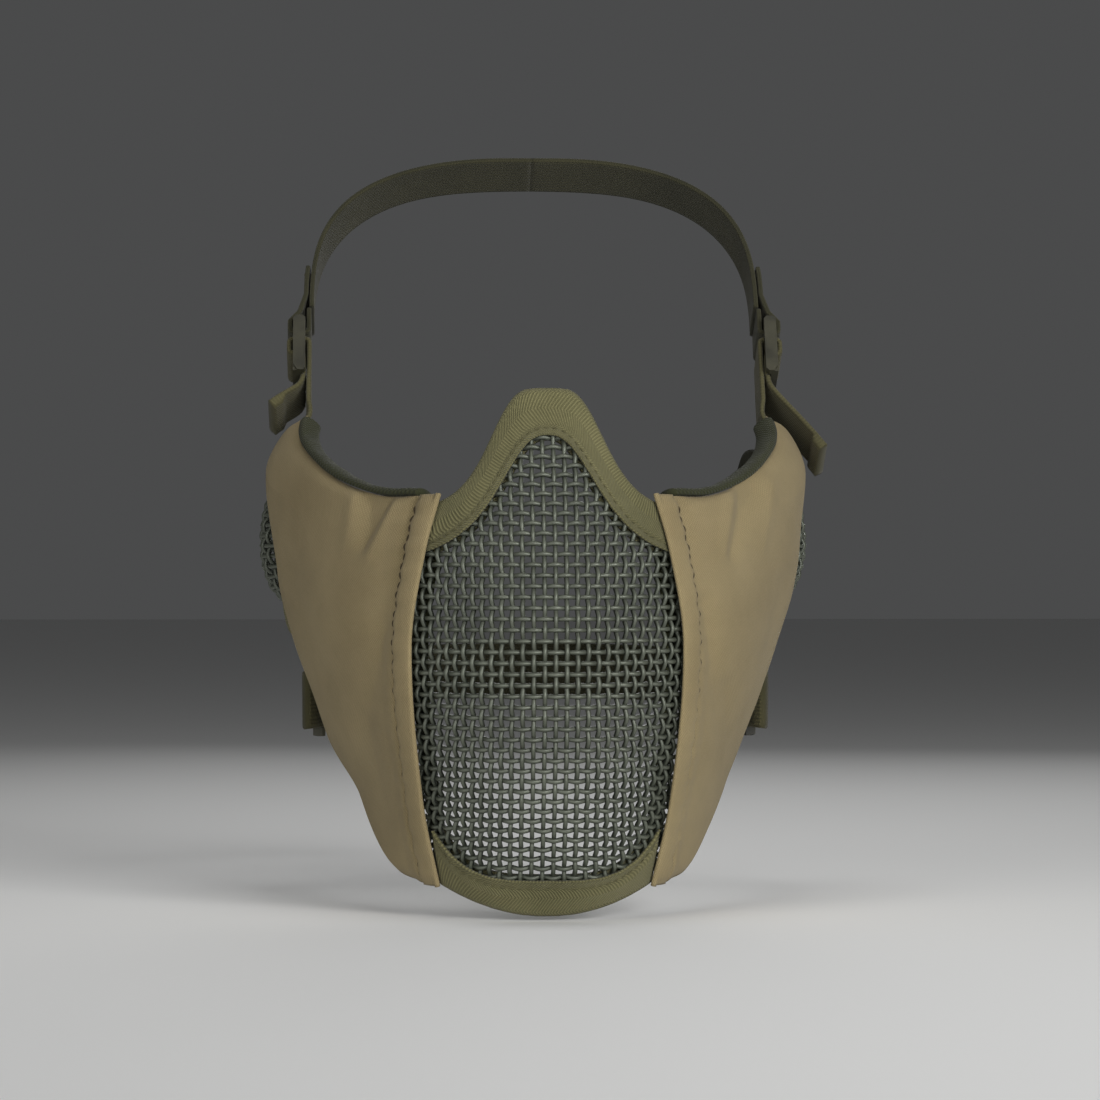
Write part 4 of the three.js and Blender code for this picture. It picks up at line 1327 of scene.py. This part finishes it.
def ribbon(name, strap, path, side, thickness=WEB_THICK, step=1.2, thicker=None):
    """A flat strip along a path of (x, length) pairs: each section point stands off the path along its
    normal."""
    path, run = even(path, step)
    across, out = rounded_strip(WEBBING, thickness, 15)
    stand = np.repeat(out[None], len(run), 0)
    if thicker is not None:
        stand = np.where(stand > 0, stand * thicker(run)[:, None], stand)
    lean = 0.18 * np.sin(run / 9.0)[:, None] * (across / WEBBING)
    rings = off_path(strap, path, slice(None), across[None], stand + lean)
    return swept(name, mirrored(rings, side), run, across)


tilts = tuple(np.degrees(strap["tilt"]) for strap in STRAPS.values())
print("straps in planes at %.0f and %.0f degrees" % tilts)

# %% Webbing from the panel to the lock
def standing_webbing(name, strap, side):
    """It lies under the panel's edge, then leaves the shell and settles into the strap's plane."""
    length = np.linspace(-5.9, low_end(strap) - 0.35, 30)
    across, out = rounded_strip(WEBBING, WEB_THICK, 15)
    flat = strap_place(strap, strap["side"] + out[None], across[None], length[:, None])
    laid = side_point(-flat[..., 1], flat[..., 2], np.broadcast_to(out[None] - 0.95, flat.shape[:2]))
    share = smooth(0, 10, length)[:, None, None]
    return swept(name, mirrored(mix(laid, flat, share), side), length, across)


def wrap_path(strap):
    """Up behind the lock, out round its middle bar, and back in under the tab bar."""
    low, bar = low_end(strap), strap["lock_at"] - 0.5
    room = STANDOFF + WEB_THICK / 2
    inner, outer = strap["side"], strap["side"] + LOCK_OUTER + room
    tail = strap["side"] + WEB_THICK + STANDOFF
    return np.concatenate([
        [[inner, low - 0.3], [inner, bar + LOCK_BAR - 0.4]],
        bend(inner + room, bar + LOCK_BAR, room, 170, 90),
        bend(outer - room, bar + LOCK_BAR, room, 90, 0),
        bend(outer - room, bar, room, 0, -90),
        bend(tail + room, bar - 2 * room, room, 90, 180),
        [[tail, low + 0.6]]])


def tail_path(strap, length, angle):
    """The loose end bends away from its strap and hangs slightly curved."""
    start_x, start = strap["side"] + WEB_THICK + STANDOFF, low_end(strap)
    run = np.linspace(0, length, 30)
    turned = np.radians(angle) * (0.35 + 0.65 * smooth(0, 5, run) + 0.16 * np.sin(np.pi * run / length))
    step = np.gradient(run)
    path = np.c_[start_x + np.cumsum(np.sin(turned) * step), start - 0.5 - np.cumsum(np.cos(turned) * step)]
    return np.concatenate([[[start_x, start + 0.6]], path])


def arch_path(strap, out, turns):
    """A superellipse over the head, from the lock at turn 0 to the middle at turn 1."""
    angle, power = turns * np.pi / 2, 2 / strap["power"]
    return np.c_[(strap["half"] + out) * np.abs(np.cos(angle)) ** power,
                 strap["lock_at"] + ARCH_START + (strap["rise"] + out) * np.sin(angle) ** power]


def loop_path(strap):
    """The elastic round the lock's fixed bar, folded back over the strap."""
    high = strap["lock_at"] + LOCK_LENGTH / 2
    low = high - LOCK_BAR
    room = STANDOFF + ELASTIC / 2
    inner, outer = strap["side"] + LOCK_INNER - room, strap["side"] + LOCK_OUTER + room
    over = ELASTIC + 0.5
    return np.concatenate([
        [[inner, high + 5], [inner, low]],
        bend(inner + room, low, room, 180, 270),
        bend(outer - room, low, room, -90, 0),
        [[outer, high], [mix(outer, strap["half"] + over, 0.6), high + 4]],
        arch_path(strap, over, np.linspace(0.02, 0.1, 8))])


print("paths ready")

# %% Make the straps
def hem_end(run):
    """The loose end is folded over and sewn: three times as thick over its last 5 mm."""
    return 1 + 2.0 * smooth(run[-1] - 5.6, run[-1] - 4.6, run)


def cross_seam(name, strap, path, at, side, lift):
    """A row of stitches across a strip, a distance from its free end."""
    path, run = even(path, 0.6)
    i = np.argmin(np.abs(run - (run[-1] - at)))
    across = np.linspace(-8.6, 8.6, 30)
    seam, above = (mirrored(off_path(strap, path, i, across, height), side) for height in (lift, lift + 1))
    return stitches(name, seam, above - seam, pitch=2.4)


def bent(piece, strap, side, start, end):
    """Bakes a strip's transform into its mesh; the strip is not bent. The points at start and end up its
    strap are found but not used.
    """
    points = [mirrored(strap_place(strap, strap["side"], 0, at), side) * MM for at in (start, end)]
    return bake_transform(piece)


for name, side in SIDES:
    for kind, strap in STRAPS.items():
        label, low = kind + "_%s_" + name, low_end(strap)
        cheek, lock, tail = "cheek_" + name, label % "lock", label % "tail"
        standing = dress(standing_webbing(label % "standing_webbing", strap, side), "webbing")
        bent(standing, strap, side, 1.0, low - 1.5)
        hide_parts(label % "webbing")
        wrap = dress(ribbon(label % "wrapped_webbing", strap, wrap_path(strap), side, step=0.7), "webbing")
        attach(wrap, lock)
        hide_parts(label % "wrap")
        hang = tail_path(strap, *TAILS[name, kind])
        loose = dress(ribbon(label % "loose_end", strap, hang, side, thicker=hem_end), "webbing")
        bent(loose, strap, side, low + 0.6, low - 4)
        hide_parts(tail)
        seam = cross_seam(label % "end_stitches", strap, hang, 2.3, side, 2.2)
        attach(dress(seam, "webbing", OLIVE_THREAD), tail)
        round_bar = loop_path(strap)
        loop = ribbon(label % "elastic_loop", strap, round_bar, side, thickness=ELASTIC, step=0.7)
        dress(loop, "elastic")
        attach(loop, cheek)
        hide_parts(label % "loop")
        seam = cross_seam(label % "loop_stitches", strap, round_bar, 2.6, side, 0.8)
        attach(dress(seam, "elastic", OLIVE_THREAD), cheek)
        arch, start = arch_path(strap, 0, np.linspace(0, 1, 400)), strap["lock_at"] + ARCH_START
        half = dress(ribbon(label % "elastic", strap, arch, side, thickness=ELASTIC, step=2.0), "elastic")
        top = strap_place(strap, 0, 0, start + strap["rise"]) * MM
        foot = mirrored(strap_place(strap, strap["half"], 0, start), side) * MM
        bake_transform(half)
        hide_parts(kind + "_strap")
print("straps:", len(STRAPS) * 2, "sides")

# %% [markdown]
# ## Ladder locks
#
# A ladder lock is one moulding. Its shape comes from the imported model: the loose triangles are merged,
# flat ones are joined into whole faces, and Bevel rounds the edges that a mould rounds.

# %% Bevelled ladder locks
def moulded_lock(node, name):
    """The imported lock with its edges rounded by 0.45 mm."""
    shape = bmesh.new()
    shape.from_mesh(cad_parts[node].data)
    bmesh.ops.remove_doubles(shape, verts=shape.verts, dist=1e-5)
    bmesh.ops.dissolve_limit(shape, angle_limit=np.radians(1), verts=shape.verts, edges=shape.edges)
    mesh = bpy.data.meshes.new(name)
    shape.to_mesh(mesh)
    shape.free()
    made = add_object(name, mesh)
    rounding = made.modifiers.new("rounding", "BEVEL")
    rounding.width = 0.45 * MM
    rounding.segments = 3
    rounding.limit_method = "ANGLE"
    rounding.angle_limit = np.radians(35)
    apply_modifiers(made)
    made.data.polygons.foreach_set("use_smooth", [True] * len(made.data.polygons))
    weighted = made.modifiers.new("flat faces", "WEIGHTED_NORMAL")
    weighted.keep_sharp = True
    return made


for name, side in SIDES:
    for kind in STRAPS:
        node = "%s_lock_%s" % (kind, name)
        piece = dress(moulded_lock(node, "%s_ladder_%s" % (kind, name)), "plastic", PLASTIC)
        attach(piece, node)
        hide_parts(node)
print("ladder lock:", len(piece.data.polygons), "faces")

# %% [markdown]
# ## The cloth
#
# Each panel's area, the size its cloth was cut to, comes from its own grid of points where the panels are
# made. The strips of lining and the hinges are narrower and stay as they are.

# %% Sheets
print("cloth panels done")

# %% [markdown]
# ## Floor, light and camera
#
# Soft light from large panels in front and above shows cloth best, with a weak one behind to draw the
# edges. Each beam is narrow, so little of it reaches the ground behind, and the holes of the mesh read
# dark. The camera is level with the mask and a little to the wearer's right, with a long lens, as for a
# catalogue.

# %% Floor
FLOOR_Z, FLOOR_SIZE = cad_bounds[0][2] - 0.001, 6.0
corners = [(x * FLOOR_SIZE, y * FLOOR_SIZE, FLOOR_Z) for x, y in ((-1, -1), (1, -1), (1, 1), (-1, 1))]
floor = add_object("floor", bpy.data.meshes.new("floor"))
floor.data.from_pydata(corners, [], [(0, 1, 2, 3)])
pale = Finish("pale_floor", 0.9, specular=0.1)
pale.colour((0.8, 0.8, 0.79, 1.0))
floor.data.materials.append(pale.material)
print("floor at z = %.3f m" % FLOOR_Z)

# %% Light
def soft_light(name, place, aim, size, watts):
    """A rectangular panel that faces its aim."""
    lamp = bpy.data.lights.new(name, "AREA")
    lamp.shape, lamp.size, lamp.size_y, lamp.energy = "RECTANGLE", size[0], size[1], watts
    lamp.spread = SPREAD
    made = add_object(name, lamp)
    made.location = place
    made.rotation_euler = (Vector(aim) - Vector(place)).to_track_quat("-Z", "Y").to_euler()


MIDDLE, SPREAD = (0.0, -0.03, 0.0), np.radians(80)
soft_light("key", (0.8, -1.35, 0.45), MIDDLE, (0.8, 0.7), 4.3)
soft_light("fill", (-1.1, -1.3, 0.3), MIDDLE, (1.0, 1.0), 2.0)
soft_light("low", (0.1, -1.5, 0.05), (0.0, -0.03, -0.03), (0.9, 0.5), 1.6)
soft_light("top", (0.0, -0.2, 1.3), MIDDLE, (0.8, 0.5), 0.8)
soft_light("back", (0.25, 1.25, 0.35), MIDDLE, (0.9, 0.5), 1.1)
world = bpy.data.worlds.new("studio")
world.use_nodes = True
background = world.node_tree.nodes["Background"].inputs
background["Color"].default_value = (0.86, 0.87, 0.88, 1.0)
background["Strength"].default_value = 0.08
bpy.context.scene.world = world
print("lights:", len(bpy.data.lights))

# %% Camera
CAMERA_TURN, CAMERA_DISTANCE, SEEN_ACROSS, SENSOR = np.radians(2.4), 1.5, 0.3795, 0.036
AIM = Vector((0.0052, 0.0, -0.0052))
camera = add_object("camera", bpy.data.cameras.new("camera"))
camera.location = AIM + Vector((-np.sin(CAMERA_TURN), -np.cos(CAMERA_TURN), 0)) * CAMERA_DISTANCE
camera.rotation_euler = (AIM - camera.location).to_track_quat("-Z", "Y").to_euler()
camera.data.sensor_width = SENSOR / MM
camera.data.lens = SENSOR * CAMERA_DISTANCE / SEEN_ACROSS / MM
camera.data.clip_start = 0.01
bpy.context.scene.camera = camera
bpy.context.scene.view_settings.view_transform = "Standard"
print("lens: %.0f mm" % camera.data.lens)
